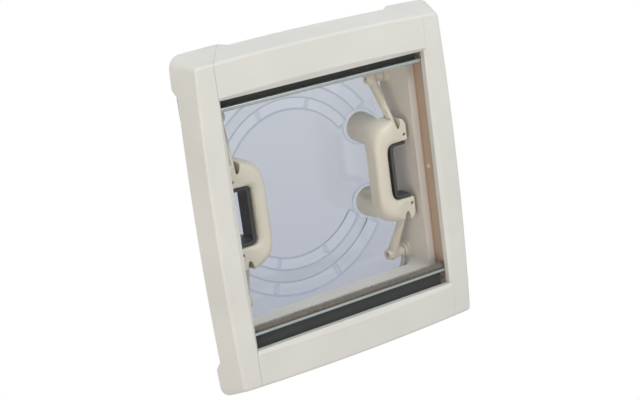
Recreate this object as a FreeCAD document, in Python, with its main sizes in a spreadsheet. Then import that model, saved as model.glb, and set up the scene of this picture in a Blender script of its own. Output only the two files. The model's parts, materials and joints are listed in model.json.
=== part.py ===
"""Camper roof hatch: a clear domed lid on four over-centre struts, an outer roof frame with its neck,
a clamp frame, and an inner ceiling frame with two roller blinds.

Millimetres. Z points up to the sky and the ceiling face of the inner frame lies on z = 0. X runs across
the hatch, from handle to handle, and Y along it, from blind to blind.
"""

import FreeCAD
import Part
import Sketcher

import math
import os

from FreeCAD import Placement, Rotation, Vector

doc = FreeCAD.newDocument("roof_hatch")

# Driving dimensions

SIZES = [
    # inner ceiling frame
    ("face_width", 340, "ceiling face across the hatch"),
    ("face_length", 390, "ceiling face along the hatch"),
    ("face_corner", 5, "corner radius of the ceiling face"),
    ("rail_bow", 5, "outward bow of the long sides"),
    ("cover_bow", 4, "outward bow of the short sides"),
    ("foot_height", 36, "ceiling face to the corner feet"),
    ("flare", 13.7, "outward lean of the skirt over its height"),
    ("rear_corner", 16, "corner radius at the feet"),
    ("face_edge", 2.5, "round between ceiling face and skirt"),
    ("plate", 3, "thickness of the ceiling face"),
    ("skirt_wall", 3, "thickness of the skirt"),
    ("rail_face", 23.6, "face width of a side rail"),
    ("cover_face", 39.4, "face width of a blind cover"),
    ("rail_bevel", 2.4, "bevel along a rail, at its ends"),
    ("cover_bevel", 3.3, "bevel along a cover, at its ends"),
    ("bevel_bow", 4, "bow of the bevel's outer edge"),
    ("bevel_depth", 3, "bevel along Z"),
    ("mouth_corner", 0.8, "corner radius of the opening"),
    ("lip_depth", 10.5, "ceiling face to the back of the lip"),
    ("lip_wall", 2.5, "thickness of the lip"),
    ("skirt_notch", 7, "vent gap between the corner feet"),
    ("foot_across", 64.2, "corner foot along the cover side"),
    ("foot_along", 37.7, "corner foot along the rail side"),
    ("foot_ramp", 10, "sloped end of a corner foot"),
    ("seam_gap", 0.3, "gap between rail and cover"),
    ("guide_reach", 5, "depth of the guide channel behind the lip"),
    ("guide_wall", 2.5, "thickness of the guide channel wall"),
    ("guide_end", 5, "guide wall to the end wall"),
    ("hole_overrun", 1, "hole tools beyond the wall"),
    ("rail_screw_radius", 2.2, "screw hole in the guide wall"),
    ("rail_screw_height", 27.5, "screw hole above the ceiling face"),
    # clamp frame and roof
    ("clamp_plate", 3, "thickness of the clamp frame"),
    ("clamp_width", 340, "clamp frame across the hatch"),
    ("clamp_roll_gap", 4, "clamp frame to the blind rolls"),
    ("clamp_corner", 8, "corner radius of the clamp frame"),
    ("roof_thickness", 34, "roof panel held between the frames"),
    # outer frame
    ("neck_width", 279, "neck through the roof cut-out, across"),
    ("neck_length", 279, "neck through the roof cut-out, along"),
    ("neck_corner", 12, "outer corner radius of the neck"),
    ("cheek_wall", 3.5, "thickness of the two neck walls that carry the struts"),
    ("end_wall", 2.5, "thickness of the two other neck walls"),
    ("cheek_rise", 18, "strut wall above the flange"),
    ("cheek_length", 262, "length of a raised strut wall"),
    ("flange_width", 324, "roof flange across the hatch"),
    ("flange_length", 392, "roof flange along the hatch"),
    ("flange_corner", 40, "corner radius of the roof flange"),
    ("flange_plate", 4, "thickness of the roof flange"),
    ("flange_edge", 2.5, "round of the flange edge"),
    ("upstand_width", 286, "seal upstand across the hatch"),
    ("upstand_length", 320, "seal upstand along the hatch"),
    ("upstand_corner", 26, "corner radius of the upstand"),
    ("upstand_wall", 3.5, "thickness of the upstand"),
    ("upstand_rise", 18, "upstand above the flange"),
    ("land_out", 2.5, "seal land beyond the upstand, outwards"),
    ("land_in", 3.5, "seal land beyond the upstand, inwards"),
    ("land_plate", 3, "thickness of the seal land"),
    ("seal_margin", 1, "seal to the edges of its land"),
    ("seal_height", 4.8, "height of the dome seal"),
    ("seal_gap", 0.2, "gap between seal and closed dome"),
    # dome
    ("dome_width", 300, "dome rim across the hatch"),
    ("dome_length", 372, "dome rim along the hatch"),
    ("dome_corner", 40, "corner radius of the dome rim"),
    ("rim_plate", 3, "thickness of each pane's rim"),
    ("rim_skirt", 18, "drip skirt below the rim"),
    ("rim_edge", 2.5, "round of the rim's edge"),
    ("crown_foot", 6, "rim edge to the outer pane"),
    ("crown_foot_corner", 34, "its corner radius"),
    ("crown_lean", 8, "inward lean of the outer pane's sides"),
    ("crown_rise", 35, "outer pane above the rim, in the middle"),
    ("crown_radius", 900, "sphere of the outer pane"),
    ("pane", 3, "thickness of the outer pane"),
    ("inner_rim_gap", 1, "inner pane's rim to the drip skirt"),
    ("inner_foot", 5, "rim edge to the inner pane"),
    ("inner_foot_corner", 30, "its corner radius"),
    ("crown_trim", 1, "block above the sphere before it is trimmed"),
    ("inner_lean", 6, "inward lean of the inner pane's sides"),
    ("inner_rise", 24, "inner pane above its rim, in the middle"),
    ("inner_radius", 1200, "sphere of the inner pane"),
    ("inner_pane", 2.5, "thickness of the inner pane"),
    ("bead_inner_from", 95, "inner stiffening bead, inside radius"),
    ("bead_inner_to", 113, "inner stiffening bead, outside radius"),
    ("bead_outer_from", 126, "outer stiffening bead, inside radius"),
    ("bead_outer_to", 146, "outer stiffening bead, outside radius"),
    ("bead_height", 4.5, "height of a bead"),
    ("bead_slope", 4, "width of a bead's sloped side"),
    ("bead_span", 111, "angle that a bead covers"),
    ("bead_middle", 40, "angle between the ribs across a bead"),
    ("bead_rib", 3, "angle of a rib across a bead"),
    # handles
    ("handle_face", 39, "handle face above the ceiling face"),
    ("handle_depth", 29, "handle face to back"),
    ("handle_inside", 80, "middle of the hatch to the grip"),
    ("grip_width", 20.6, "width of the grip"),
    ("handle_wall_gap", 5, "handle to strut wall"),
    ("handle_arm", 28, "handle beyond the finger gap, at each end"),
    ("finger_length", 68, "finger gap along the hatch"),
    ("handle_shoulder", 34, "large outer corner radius"),
    ("handle_end_round", 12, "outer corner radius at the wall"),
    ("finger_round", 7, "corner radius in the finger gap"),
    ("handle_edge", 7, "round of the handle's face edge"),
    ("leg_radius", 13.5, "leg at the handle"),
    ("foot_radius", 18, "leg at the dome"),
    ("leg_across", 105, "leg centre at the handle, across"),
    ("leg_clear", 0.5, "leg to the finger gap"),
    ("leg_foot_across", 113, "leg centre at the dome, across"),
    ("leg_splay", 4, "leg centre at the dome, further along"),
    ("leg_start", 14, "leg start above the handle face"),
    ("leg_seat_gap", 0.1, "leg to inner pane"),
    ("handle_screw_inset", 3.8, "screw recess from the handle's end"),
    ("handle_screw_beyond", 13, "screw recess beyond the finger gap"),
    ("handle_screw_radius", 2, "screw recess radius"),
    ("handle_screw_depth", 9, "screw recess depth"),
    # release triggers
    ("trigger_travel", 3, "gap behind the trigger"),
    ("trigger_wall", 4.2, "thickness of the trigger"),
    ("trigger_side_gap", 0.4, "trigger to finger gap sides"),
    ("trigger_short", 3.5, "trigger ends short of the handle ends"),
    ("trigger_set_back", 3, "trigger behind the handle face"),
    ("trigger_depth", 24, "trigger along Z"),
    ("trigger_round", 6, "outer corner radius of the trigger"),
    # struts
    ("pivot_inset", 21.5, "strut pivot from the end of the neck"),
    ("pivot_height", 80, "strut pivot above the ceiling face"),
    ("eye_beyond", 18, "strut eye beyond the finger gap"),
    ("eye_height", 47, "strut eye above the ceiling face"),
    ("strut_pivot_radius", 6, "strut at the pivot"),
    ("strut_eye_radius", 4.5, "strut at the eye"),
    ("strut_pivot_across", 112, "middle of the arm at the pivot"),
    ("strut_eye_across", 118, "middle of the arm at the eye"),
    ("strut_eye_wide", 10, "strut eye across the hatch"),
    ("boss_from", 104, "pivot boss, inner end"),
    ("boss_bore", 2.2, "hollow in the pivot boss"),
    ("boss_bore_depth", 7, "depth of that hollow"),
    ("pin_radius", 4, "pivot pin"),
    ("pin_gap", 0.15, "pin to collar, radial"),
    ("collar_flange_radius", 11, "collar at the wall"),
    ("collar_flange", 3, "collar flange thickness"),
    ("collar_radius", 8.2, "collar nose"),
    ("collar_nose", 4.2, "collar nose length"),
    ("collar_gap", 0.3, "collar nose to strut boss"),
    ("slot_from", 110, "slot in the handle, inner side"),
    ("slot_wide", 14, "slot across the hatch"),
    ("slot_beyond", 4, "slot's inner end beyond the finger gap"),
    ("slot_overrun", 13, "slot's outer end beyond the handle"),
    ("slot_inner_low", 41.2, "slot floor at the inner end"),
    ("slot_inner_high", 53.2, "slot roof at the inner end"),
    ("slot_outer_low", 34, "slot floor at the outer end"),
    ("slot_outer_high", 63.5, "slot roof at the outer end"),
    # blinds
    ("roll_inset", 21, "blind roll from the end of the ceiling face"),
    ("roll_height", 26, "blind roll above the ceiling face"),
    ("roll_radius", 8, "wound blind"),
    ("roll_length", 284, "wound blind across the hatch"),
    ("axle_radius", 3, "blind roll axle"),
    ("axle_gap", 0.3, "axle to its hole, radial"),
    ("fabric", 0.6, "blind fabric thickness"),
    ("fabric_gap", 0.1, "fabric to roll"),
    ("fabric_width", 281, "blind fabric across the hatch"),
    ("bar_end_gap", 0.7, "pull bar to guide wall"),
    ("bar_lip_gap", 0.5, "pull bar to lip"),
    ("bar_height", 13, "pull bar along Z"),
    ("front_bar_reach", 15.3, "front pull bar beyond the lip"),
    ("front_bar_width", 7.5, "front pull bar along the hatch"),
    ("front_bar_round", 2, "nose radius of the front pull bar"),
    ("front_bar_groove", 1.2, "groove in the front pull bar's face"),
    ("rear_bar_reach", 20.5, "rear pull bar beyond the lip"),
    ("rear_bar_lip", 3.2, "lip of the rear pull bar"),
    ("rear_bar_web", 9, "web of the rear pull bar"),
    ("rear_bar_web_plate", 4, "web thickness"),
    ("brush_pile", 7.8, "brush beyond the rear pull bar"),
    ("brush_height", 7, "brush along Z"),
    ("brush_set_back", 2, "brush behind the bar's face"),
]

sheet = doc.addObject("Spreadsheet::Sheet", "Sizes")
for row, (name, value, note) in enumerate(SIZES, 1):
    sheet.set(f"A{row}", note)
    sheet.set(f"B{row}", str(value))
    sheet.setAlias(f"B{row}", name)
doc.recompute()


def size(expression):
    """Number that an expression on the sheet gives, such as 'face_width / 2'."""
    found = sheet.evalExpression(bound(expression))
    return float(getattr(found, "Value", found))


def bound(expression):
    """The expression with each size written as a reference to the sheet."""
    words = []
    word = ""
    for letter in str(expression) + " ":
        if letter.isalnum() or letter == "_":
            word += letter
            continue
        words.append(f"Sizes.{word}" if word in NAMES else word)
        words.append(letter)
        word = ""
    return "".join(words).strip()


NAMES = {name for name, value, note in SIZES}
ROUNDS_TO_SETTLE = 30
NEAR = 0.01

# Derived places, each an expression on the sheet

SEAM = "(face_width / 2 - rail_face)"
COVER_EDGE = "(face_length / 2 - cover_face)"
SEAM_AT_FEET = "(face_width / 2 + flare - foot_across)"
LIP_ACROSS = f"({SEAM} - rail_bevel)"
LIP_ALONG = f"({COVER_EDGE} - cover_bevel)"
GUIDE = f"({LIP_ACROSS} + guide_reach)"
CLAMP_UNDER = "(foot_height - clamp_plate)"
FLANGE_UNDER = "(foot_height + roof_thickness)"
FLANGE_TOP = f"({FLANGE_UNDER} + flange_plate)"
CHEEK = "(neck_width / 2 - cheek_wall)"
UPSTAND_TOP = f"({FLANGE_TOP} + upstand_rise)"
RIM_UNDER = f"({UPSTAND_TOP} + seal_height + seal_gap)"
OUTER_RIM_UNDER = f"({RIM_UNDER} + rim_plate)"
INNER_TOP = f"({RIM_UNDER} + inner_rise + inner_pane)"
OUTER_TOP = f"({OUTER_RIM_UNDER} + crown_rise)"
HANDLE_END = f"({CHEEK} - handle_wall_gap)"
FINGER_FROM = "(handle_inside + grip_width)"
HANDLE_TIP = "(finger_length / 2 + handle_arm)"
LEG_ALONG = "(finger_length / 2 + leg_radius + leg_clear)"
LEG_FOOT_ALONG = f"({LEG_ALONG} + leg_splay)"
PIVOT_ALONG = "(neck_length / 2 - pivot_inset)"
EYE_ALONG = "(finger_length / 2 + eye_beyond)"
SLOT_INNER = "(finger_length / 2 + slot_beyond)"
SLOT_OUTER = f"({HANDLE_TIP} + slot_overrun)"
ROLL_ALONG = "(face_length / 2 - roll_inset)"
CLAMP_LENGTH = f"(2 * ({ROLL_ALONG} - roll_radius - clamp_roll_gap))"
FRONT_NOSE = f"(front_bar_reach - {LIP_ALONG})"
REAR_NOSE = f"({LIP_ALONG} - rear_bar_reach)"
FABRIC_TOP = "(roll_height - roll_radius - fabric_gap)"
BAR_END = f"({GUIDE} - bar_end_gap)"
BAR_FACE = "(lip_depth + bar_lip_gap)"

# Building blocks


def new_body(name):
    """An empty body with that name."""
    return doc.addObject("PartDesign::Body", name)


def sketch_on(body, role, name, offset="0"):
    """A sketch on one of the body's own origin planes, moved along the plane's normal."""
    sketch = body.newObject("Sketcher::SketchObject", name)
    plane = next(f for f in body.Origin.OriginFeatures if f.Role == role)
    sketch.AttachmentSupport = [(plane, "")]
    sketch.MapMode = "FlatFace"
    sketch.setExpression("AttachmentOffset.Base.z", bound(offset))
    return sketch


def dimension(sketch, kind, places, expression):
    """A driving dimension of the sketch that follows the sheet."""
    number = sketch.addConstraint(Sketcher.Constraint(kind, *places, size(expression)))
    sketch.setExpression(f"Constraints[{number}]", bound(expression))


def rounded_rectangle(sketch, width, length, radius):
    """A centred rectangle with four equal round corners."""
    half_w, half_l, r = size(width) / 2, size(length) / 2, size(radius)
    corners = [(1, 1), (-1, 1), (-1, -1), (1, -1)]
    arcs = []
    for turn, (sx, sy) in enumerate(corners):
        centre = Vector(sx * (half_w - r), sy * (half_l - r), 0)
        circle = Part.Circle(centre, Vector(0, 0, 1), r)
        start = turn * math.pi / 2
        arcs.append(sketch.addGeometry(Part.ArcOfCircle(circle, start, start + math.pi / 2)))
    lines = []
    for turn in range(4):
        here = sketch.Geometry[arcs[turn]].EndPoint
        there = sketch.Geometry[arcs[(turn + 1) % 4]].StartPoint
        lines.append(sketch.addGeometry(Part.LineSegment(here, there)))
    for turn in range(4):
        sketch.addConstraint(Sketcher.Constraint("Tangent", arcs[turn], 2, lines[turn], 1))
        sketch.addConstraint(Sketcher.Constraint("Tangent", lines[turn], 2, arcs[(turn + 1) % 4], 1))
    for line, kind in zip(lines, ("Horizontal", "Vertical", "Horizontal", "Vertical")):
        sketch.addConstraint(Sketcher.Constraint(kind, line))
    for arc in arcs[1:]:
        sketch.addConstraint(Sketcher.Constraint("Equal", arcs[0], arc))
    dimension(sketch, "Radius", (arcs[0],), radius)
    dimension(sketch, "DistanceX", (-1, 1, lines[3], 1), f"({width}) / 2")
    dimension(sketch, "DistanceX", (lines[1], 1, -1, 1), f"({width}) / 2")
    dimension(sketch, "DistanceY", (-1, 1, lines[0], 1), f"({length}) / 2")
    dimension(sketch, "DistanceY", (lines[2], 1, -1, 1), f"({length}) / 2")


def bowed_rectangle(sketch, width, length, radius, bows):
    """A centred rectangle with four equal round corners whose sides bow outwards as arcs.

    Width and length are those of its sharp corners; bows holds the bow of the right and left sides, then that
    of the two others.
    """
    halves = [f"(({width}) / 2)", f"(({length}) / 2)"]
    sweeps = [f"(({half} ^ 2 + {bow} ^ 2) / (2 * {bow}))" for half, bow in zip(reversed(halves), bows)]
    centres = [f"({sweep} - {half} - {bow})" for sweep, half, bow in zip(sweeps, halves, bows)]
    r = size(radius)
    reach = [size(sweep) - r for sweep in sweeps]
    back = [size(centre) for centre in centres]
    x, y = size(halves[0]) - r, size(halves[1]) - r
    for turn in range(ROUNDS_TO_SETTLE):
        x = math.sqrt(reach[0] ** 2 - y ** 2) - back[0]
        y = math.sqrt(reach[1] ** 2 - x ** 2) - back[1]
    lean = [math.atan2(y, x + back[0]), math.atan2(y + back[1], x)]
    sides, corners = [], []
    for turn in range(4):
        quarter = turn * math.pi / 2
        swing = lean[0] if turn % 2 == 0 else math.pi / 2 - lean[1]
        place = [(-back[0], 0), (0, -back[1]), (back[0], 0), (0, back[1])][turn]
        arc = Part.Circle(Vector(*place, 0), Vector(0, 0, 1), size(sweeps[turn % 2]))
        sides.append(sketch.addGeometry(Part.ArcOfCircle(arc, quarter - swing, quarter + swing)))
        place = [(x, y), (-x, y), (-x, -y), (x, -y)][turn]
        arc = Part.Circle(Vector(*place, 0), Vector(0, 0, 1), r)
        low = [lean[0], math.pi - lean[1], math.pi + lean[0], 2 * math.pi - lean[1]][turn]
        high = [lean[1], math.pi - lean[0], math.pi + lean[1], 2 * math.pi - lean[0]][turn]
        corners.append(sketch.addGeometry(Part.ArcOfCircle(arc, low, high)))
    for turn in range(4):
        sketch.addConstraint(Sketcher.Constraint("Tangent", sides[turn], 2, corners[turn], 1))
        sketch.addConstraint(Sketcher.Constraint("Tangent", corners[turn], 2, sides[(turn + 1) % 4], 1))
        sketch.addConstraint(Sketcher.Constraint("PointOnObject", sides[turn], 3, -1 - turn % 2))
    for arc in corners[1:]:
        sketch.addConstraint(Sketcher.Constraint("Equal", corners[0], arc))
    dimension(sketch, "Radius", (corners[0],), radius)
    for turn, kind in enumerate(("DistanceX", "DistanceY", "DistanceX", "DistanceY")):
        ends = (sides[turn], 3, -1, 1) if turn < 2 else (-1, 1, sides[turn], 3)
        dimension(sketch, kind, ends, centres[turn % 2])
        dimension(sketch, "Radius", (sides[turn],), sweeps[turn % 2])


def polygon(sketch, corners):
    """A closed outline of straight sides through corners given as pairs of expressions."""
    points = [Vector(size(x), size(y), 0) for x, y in corners]
    lines = []
    for here, there in zip(points, points[1:] + points[:1]):
        lines.append(sketch.addGeometry(Part.LineSegment(here, there)))
    for line, following in zip(lines, lines[1:] + lines[:1]):
        sketch.addConstraint(Sketcher.Constraint("Coincident", line, 2, following, 1))
    for line, (x, y) in zip(lines, corners):
        dimension(sketch, "DistanceX", (-1, 1, line, 1), x)
        dimension(sketch, "DistanceY", (-1, 1, line, 1), y)


def circle(sketch, x, y, radius):
    """A circle with its centre at two expressions."""
    shape = Part.Circle(Vector(size(x), size(y), 0), Vector(0, 0, 1), size(radius))
    number = sketch.addGeometry(shape)
    dimension(sketch, "Radius", (number,), radius)
    for kind, place, axis in (("DistanceX", x, -2), ("DistanceY", y, -1)):
        if size(place):
            dimension(sketch, kind, (-1, 1, number, 3), place)
        else:
            sketch.addConstraint(Sketcher.Constraint("PointOnObject", number, 3, axis))


def pad(body, sketch, length):
    """Material from the sketch along its normal."""
    feature = body.newObject("PartDesign::Pad", sketch.Name + "_pad")
    feature.Profile = sketch
    feature.setExpression("Length", bound(length))
    doc.recompute()
    return feature


def pocket(body, sketch, length):
    """A cut from the sketch along its normal."""
    before = body.Shape.Volume
    feature = body.newObject("PartDesign::Pocket", sketch.Name + "_cut")
    feature.Profile = sketch
    feature.setExpression("Length", bound(length))
    feature.Reversed = True
    doc.recompute()
    if not body.Shape.Volume < before:
        raise RuntimeError(f"{sketch.Name} cuts nothing")
    return feature


def loft(body, sections, cut=False):
    """Material, or a cut, from the first sketch through the others in turn."""
    kind = "PartDesign::SubtractiveLoft" if cut else "PartDesign::AdditiveLoft"
    feature = body.newObject(kind, sections[0].Name + "_loft")
    feature.Profile = sections[0]
    feature.Sections = sections[1:]
    feature.Ruled = True
    doc.recompute()
    return feature


def rounded_section(body, name, level, width, length, radius):
    """A sketch of one rounded rectangle at a height."""
    sketch = sketch_on(body, "XY_Plane", name, level)
    rounded_rectangle(sketch, width, length, radius)
    return sketch


def tray_section(body, name, level, grow, radius):
    """A sketch of the ceiling frame's bowed outline at a height, moved outwards by grow."""
    sketch = sketch_on(body, "XY_Plane", name, level)
    bowed_rectangle(sketch, f"(face_width + 2 * {grow})", f"(face_length + 2 * {grow})", radius,
                    ("rail_bow", "cover_bow"))
    return sketch


def edges_where(shape, wanted):
    """Names of the edges whose middle and two ends pass the test."""
    names = []
    for number, edge in enumerate(shape.Edges, 1):
        middle = edge.valueAt((edge.FirstParameter + edge.LastParameter) / 2)
        if wanted(middle, [v.Point for v in edge.Vertexes]):
            names.append(f"Edge{number}")
    if not names:
        raise RuntimeError("no edge passes the test")
    return names


def fillet(body, wanted, radius):
    """A round along the body's edges that pass the test."""
    base = body.Tip
    names = edges_where(base.Shape, wanted)
    feature = body.newObject("PartDesign::Fillet", base.Name + "_round")
    feature.Base = (base, names)
    feature.setExpression("Radius", bound(radius))
    doc.recompute()
    return feature


def on_level(level):
    """Test for edges that lie in the plane at that height."""
    return lambda middle, ends: all(abs(p.z - level) < NEAR for p in [middle, *ends])


def upright(x, y):
    """Test for an upright edge at that place in plan."""
    return lambda middle, ends: len(ends) == 2 and all(
        abs(p.x - x) < NEAR and abs(p.y - y) < NEAR for p in [middle, *ends])


def either(*tests):
    """Test that passes where any of the tests does."""
    return lambda middle, ends: any(test(middle, ends) for test in tests)


def box(name, low, high):
    """A block between two corners given as expressions."""
    block = doc.addObject("Part::Box", name)
    for side, axis, from_, to in zip(("Length", "Width", "Height"), "xyz", low, high):
        block.setExpression(side, bound(f"({to}) - ({from_})"))
        block.setExpression(f"Placement.Base.{axis}", bound(from_))
    return block


def combine(kind, name, base, tool):
    """A boolean of two objects: Part::Cut, Part::Common or Part::Fuse."""
    feature = doc.addObject(kind, name)
    feature.Base = base
    feature.Tool = tool
    doc.recompute()
    return feature


def fuse(name, *pieces):
    """One solid from several that share faces or overlap."""
    feature = doc.addObject("Part::MultiFuse", name)
    feature.Shapes = list(pieces)
    feature.Refine = True
    doc.recompute()
    return feature


def mirror(name, source, normal):
    """The source on the other side of the middle plane with that normal."""
    feature = doc.addObject("Part::Mirroring", name)
    feature.Source = source
    feature.Base = Vector(0, 0, 0)
    feature.Normal = normal
    doc.recompute()
    return feature


def ring(body, name, level, height, outside, inside):
    """A pad between two rounded rectangles, each given as width, length and corner radius."""
    sketch = sketch_on(body, "XY_Plane", name, level)
    rounded_rectangle(sketch, *outside)
    rounded_rectangle(sketch, *inside)
    return pad(body, sketch, height)


PIECES = {}
EDGE_STEPS = 3
QUARTER_TURN = 90
ACROSS = Vector(1, 0, 0)
ALONG = Vector(0, 1, 0)
UP = Vector(0, 0, 1)


def keep(name, piece):
    """Names a finished sub-part."""
    piece.Label = name
    PIECES[name] = piece
    return piece


# Outer frame: neck, roof flange, raised strut walls, seal upstand

def outer_frame():
    """The moulding that sits on the roof and reaches through its cut-out."""
    body = new_body("outer_frame_body")
    neck_inside = ("neck_width - 2 * cheek_wall", "neck_length - 2 * end_wall", "neck_corner - end_wall")
    ring(body, "neck", CLAMP_UNDER, f"{FLANGE_TOP} - {CLAMP_UNDER}",
         ("neck_width", "neck_length", "neck_corner"), neck_inside)
    ring(body, "flange", FLANGE_UNDER, "flange_plate",
         ("flange_width", "flange_length", "flange_corner"), neck_inside)
    fillet(body, lambda middle, ends: on_level(size(FLANGE_TOP))(middle, ends)
           and (abs(middle.x) > size("upstand_width / 2") or abs(middle.y) > size("upstand_length / 2")),
           "flange_edge")
    cheeks = sketch_on(body, "XY_Plane", "cheeks", FLANGE_TOP)
    for side in ("", "-"):
        polygon(cheeks, [(f"{side}{CHEEK}", "-cheek_length / 2"), (f"{side}neck_width / 2", "-cheek_length / 2"),
                         (f"{side}neck_width / 2", "cheek_length / 2"), (f"{side}{CHEEK}", "cheek_length / 2")])
    pad(body, cheeks, "cheek_rise")
    ring(body, "upstand", FLANGE_TOP, "upstand_rise", upstand_outline("0"), upstand_outline("(-upstand_wall)"))
    ring(body, "land", f"{UPSTAND_TOP} - land_plate", "land_plate", upstand_outline("land_out"),
         upstand_outline("(-upstand_wall - land_in)"))
    keep("outer_frame", body)


def upstand_outline(grow):
    """Width, length and corner radius of the seal upstand, moved outwards by grow."""
    return (f"(upstand_width + 2 * {grow})", f"(upstand_length + 2 * {grow})", f"(upstand_corner + {grow})")


def dome_seal():
    """The rubber ring that the closed dome rests on."""
    body = new_body("dome_seal_body")
    ring(body, "seal", UPSTAND_TOP, "seal_height", upstand_outline("(land_out - seal_margin)"),
         upstand_outline("(seal_margin - upstand_wall - land_in)"))
    fillet(body, on_level(size(f"{UPSTAND_TOP} + seal_height")), "seal_height / 3")
    keep("dome_seal", body)


def clamp_frame():
    """The flat ring under the roof that the ceiling frame hangs on."""
    body = new_body("clamp_frame_body")
    ring(body, "clamp", CLAMP_UNDER, "clamp_plate", ("clamp_width", CLAMP_LENGTH, "clamp_corner"),
         ("neck_width", "neck_length", "neck_corner"))
    keep("clamp_frame", body)


# Inner ceiling frame, made whole and then parted along its seams

def ceiling_frame():
    """The hollow tray with its bevelled opening, lip and corner feet."""
    body = new_body("ceiling_frame_body")
    sections = []
    for step in range(EDGE_STEPS + 1):
        turn = math.radians(90 * step / EDGE_STEPS)
        level = f"(face_edge * {1 - math.cos(turn):.5f})"
        grow = f"(flare * {level} / foot_height - face_edge * {1 - math.sin(turn):.5f})"
        sections.append(tray_section(body, f"tray_edge_{step}", level, grow, f"(face_corner + {grow})"))
    sections.append(tray_section(body, "tray_feet", "foot_height", "flare", "rear_corner"))
    loft(body, sections)
    grow = "(flare * plate / foot_height - skirt_wall)"
    hollow = [
        tray_section(body, "tray_hollow_face", "plate", grow, "face_corner"),
        tray_section(body, "tray_hollow_feet", "foot_height", "(flare - skirt_wall)", "(rear_corner - skirt_wall)"),
    ]
    loft(body, hollow, cut=True)
    lip = sketch_on(body, "XY_Plane", "lip")
    rounded_rectangle(lip, f"2 * ({LIP_ACROSS} + lip_wall)", f"2 * ({LIP_ALONG} + lip_wall)", "lip_wall")
    pad(body, lip, "lip_depth")
    mouth = sketch_on(body, "XY_Plane", "mouth")
    bowed_rectangle(mouth, f"2 * {SEAM}", f"2 * {COVER_EDGE}", "mouth_corner", ("bevel_bow", "bevel_bow"))
    throat = rounded_section(body, "throat", "bevel_depth", f"2 * {LIP_ACROSS}", f"2 * {LIP_ALONG}", "mouth_corner")
    loft(body, [mouth, throat], cut=True)
    way = sketch_on(body, "XY_Plane", "way_through")
    rounded_rectangle(way, f"2 * {LIP_ACROSS}", f"2 * {LIP_ALONG}", "mouth_corner")
    pocket(body, way, "foot_height")
    notches = (
        ("XZ_Plane", "vent_across", SEAM_AT_FEET, "face_length"),
        ("YZ_Plane", "vent_along", "(face_length / 2 + flare - foot_along)", "face_width"),
    )
    for role, name, reach, span in notches:
        notch = sketch_on(body, role, name, f"-{span}")
        low = "foot_height - skirt_notch"
        above = "foot_height + hole_overrun"
        polygon(notch, [(f"-{reach}", above), (f"-{reach}", "foot_height"), (f"-{reach} + foot_ramp", low),
                        (f"{reach} - foot_ramp", low), (reach, "foot_height"), (reach, above)])
        pocket(body, notch, f"2 * {span}")
    return body


def seam_block(name, side, gap):
    """The wedge that a blind cover fills: as wide as the seams, closing in towards the feet."""
    wedge = doc.addObject("Part::Wedge", name)
    inner = f"({LIP_ALONG} - lip_wall)"
    limits = {"Xmin": f"-{SEAM} - {gap}", "Xmax": f"{SEAM} + {gap}",
              "X2min": f"-{SEAM_AT_FEET} - {gap}", "X2max": f"{SEAM_AT_FEET} + {gap}",
              "Ymin": "0", "Ymax": "foot_height",
              "Zmin": f"-{inner} - face_length", "Zmax": f"-{inner}",
              "Z2min": f"-{inner} - face_length", "Z2max": f"-{inner}"}
    for key, expression in limits.items():
        wedge.setExpression(key, bound(expression))
    turn = Rotation(ACROSS, QUARTER_TURN)
    if side < 0:
        turn = Rotation(UP, 2 * QUARTER_TURN).multiply(turn)
    wedge.Placement = Placement(Vector(0, 0, 0), turn)
    doc.recompute()
    return wedge


def covers_and_rails():
    """The ceiling frame parted into two blind covers and two side rails with their guide walls."""
    tray = ceiling_frame()
    for label, side in (("front_blind_cover", -1), ("rear_blind_cover", 1)):
        keep(label, combine("Part::Common", label, tray, seam_block(label + "_wedge", side, "0")))
    half = box("right_half", ("0", "-face_length", "0"), ("face_width", "face_length", "foot_height"))
    rail = combine("Part::Common", "tray_half", tray, half)
    for side in (-1, 1):
        wedge = seam_block(f"rail_wedge_{side + 1}", side, "seam_gap")
        rail = combine("Part::Cut", f"tray_half_cut_{side + 1}", rail, wedge)
    reach = "(face_length / 2 - guide_end)"
    guide = box("guide_wall", (GUIDE, f"-{reach}", "plate"), (f"{GUIDE} + guide_wall", reach, CLAMP_UNDER))
    rail = fuse("rail_with_guide", rail, guide)
    holes = [("rail_screw_hole", "0", "rail_screw_height", "rail_screw_radius")]
    for name, along in (("front_axle_hole", f"-{ROLL_ALONG}"), ("rear_axle_hole", ROLL_ALONG)):
        holes.append((name, along, "roll_height", "axle_radius + axle_gap"))
    for name, along, level, radius in holes:
        rail = combine("Part::Cut", "rail_" + name, rail,
                       cylinder(name, (f"{GUIDE} - hole_overrun", along, level), radius,
                                "guide_wall + 2 * hole_overrun"))
    keep("right_side_rail", rail)
    keep("left_side_rail", mirror("left_rail", rail, ACROSS))


def cylinder(name, foot, radius, length):
    """A cylinder along X from its foot, all given as expressions."""
    rod = doc.addObject("Part::Cylinder", name)
    rod.Placement = Placement(Vector(0, 0, 0), Rotation(ALONG, QUARTER_TURN))
    rod.setExpression("Radius", bound(radius))
    rod.setExpression("Height", bound(length))
    for axis, place in zip("xyz", foot):
        rod.setExpression(f"Placement.Base.{axis}", bound(place))
    doc.recompute()
    return rod


# Dome

def crowned_block(name, level, width, length, corner, lean, rise, top, radius, grow):
    """A block with leaning sides whose top is part of a sphere; grow moves all its faces outwards."""
    body = new_body(name + "_block")
    foot = rounded_section(body, name + "_foot", level, f"({width} + 2 * {grow})", f"({length} + 2 * {grow})",
                           f"({corner} + {grow})")
    head = rounded_section(body, name + "_head", f"{level} + {rise}", f"({width} + 2 * ({grow} - {lean}))",
                           f"({length} + 2 * ({grow} - {lean}))", f"({corner} + {grow})")
    loft(body, [foot, head])
    ball = doc.addObject("Part::Sphere", name + "_ball")
    ball.setExpression("Radius", bound(f"{radius} + {grow}"))
    ball.setExpression("Placement.Base.z", bound(f"{top} - {radius}"))
    return combine("Part::Common", name + "_crown", body, ball)


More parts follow.
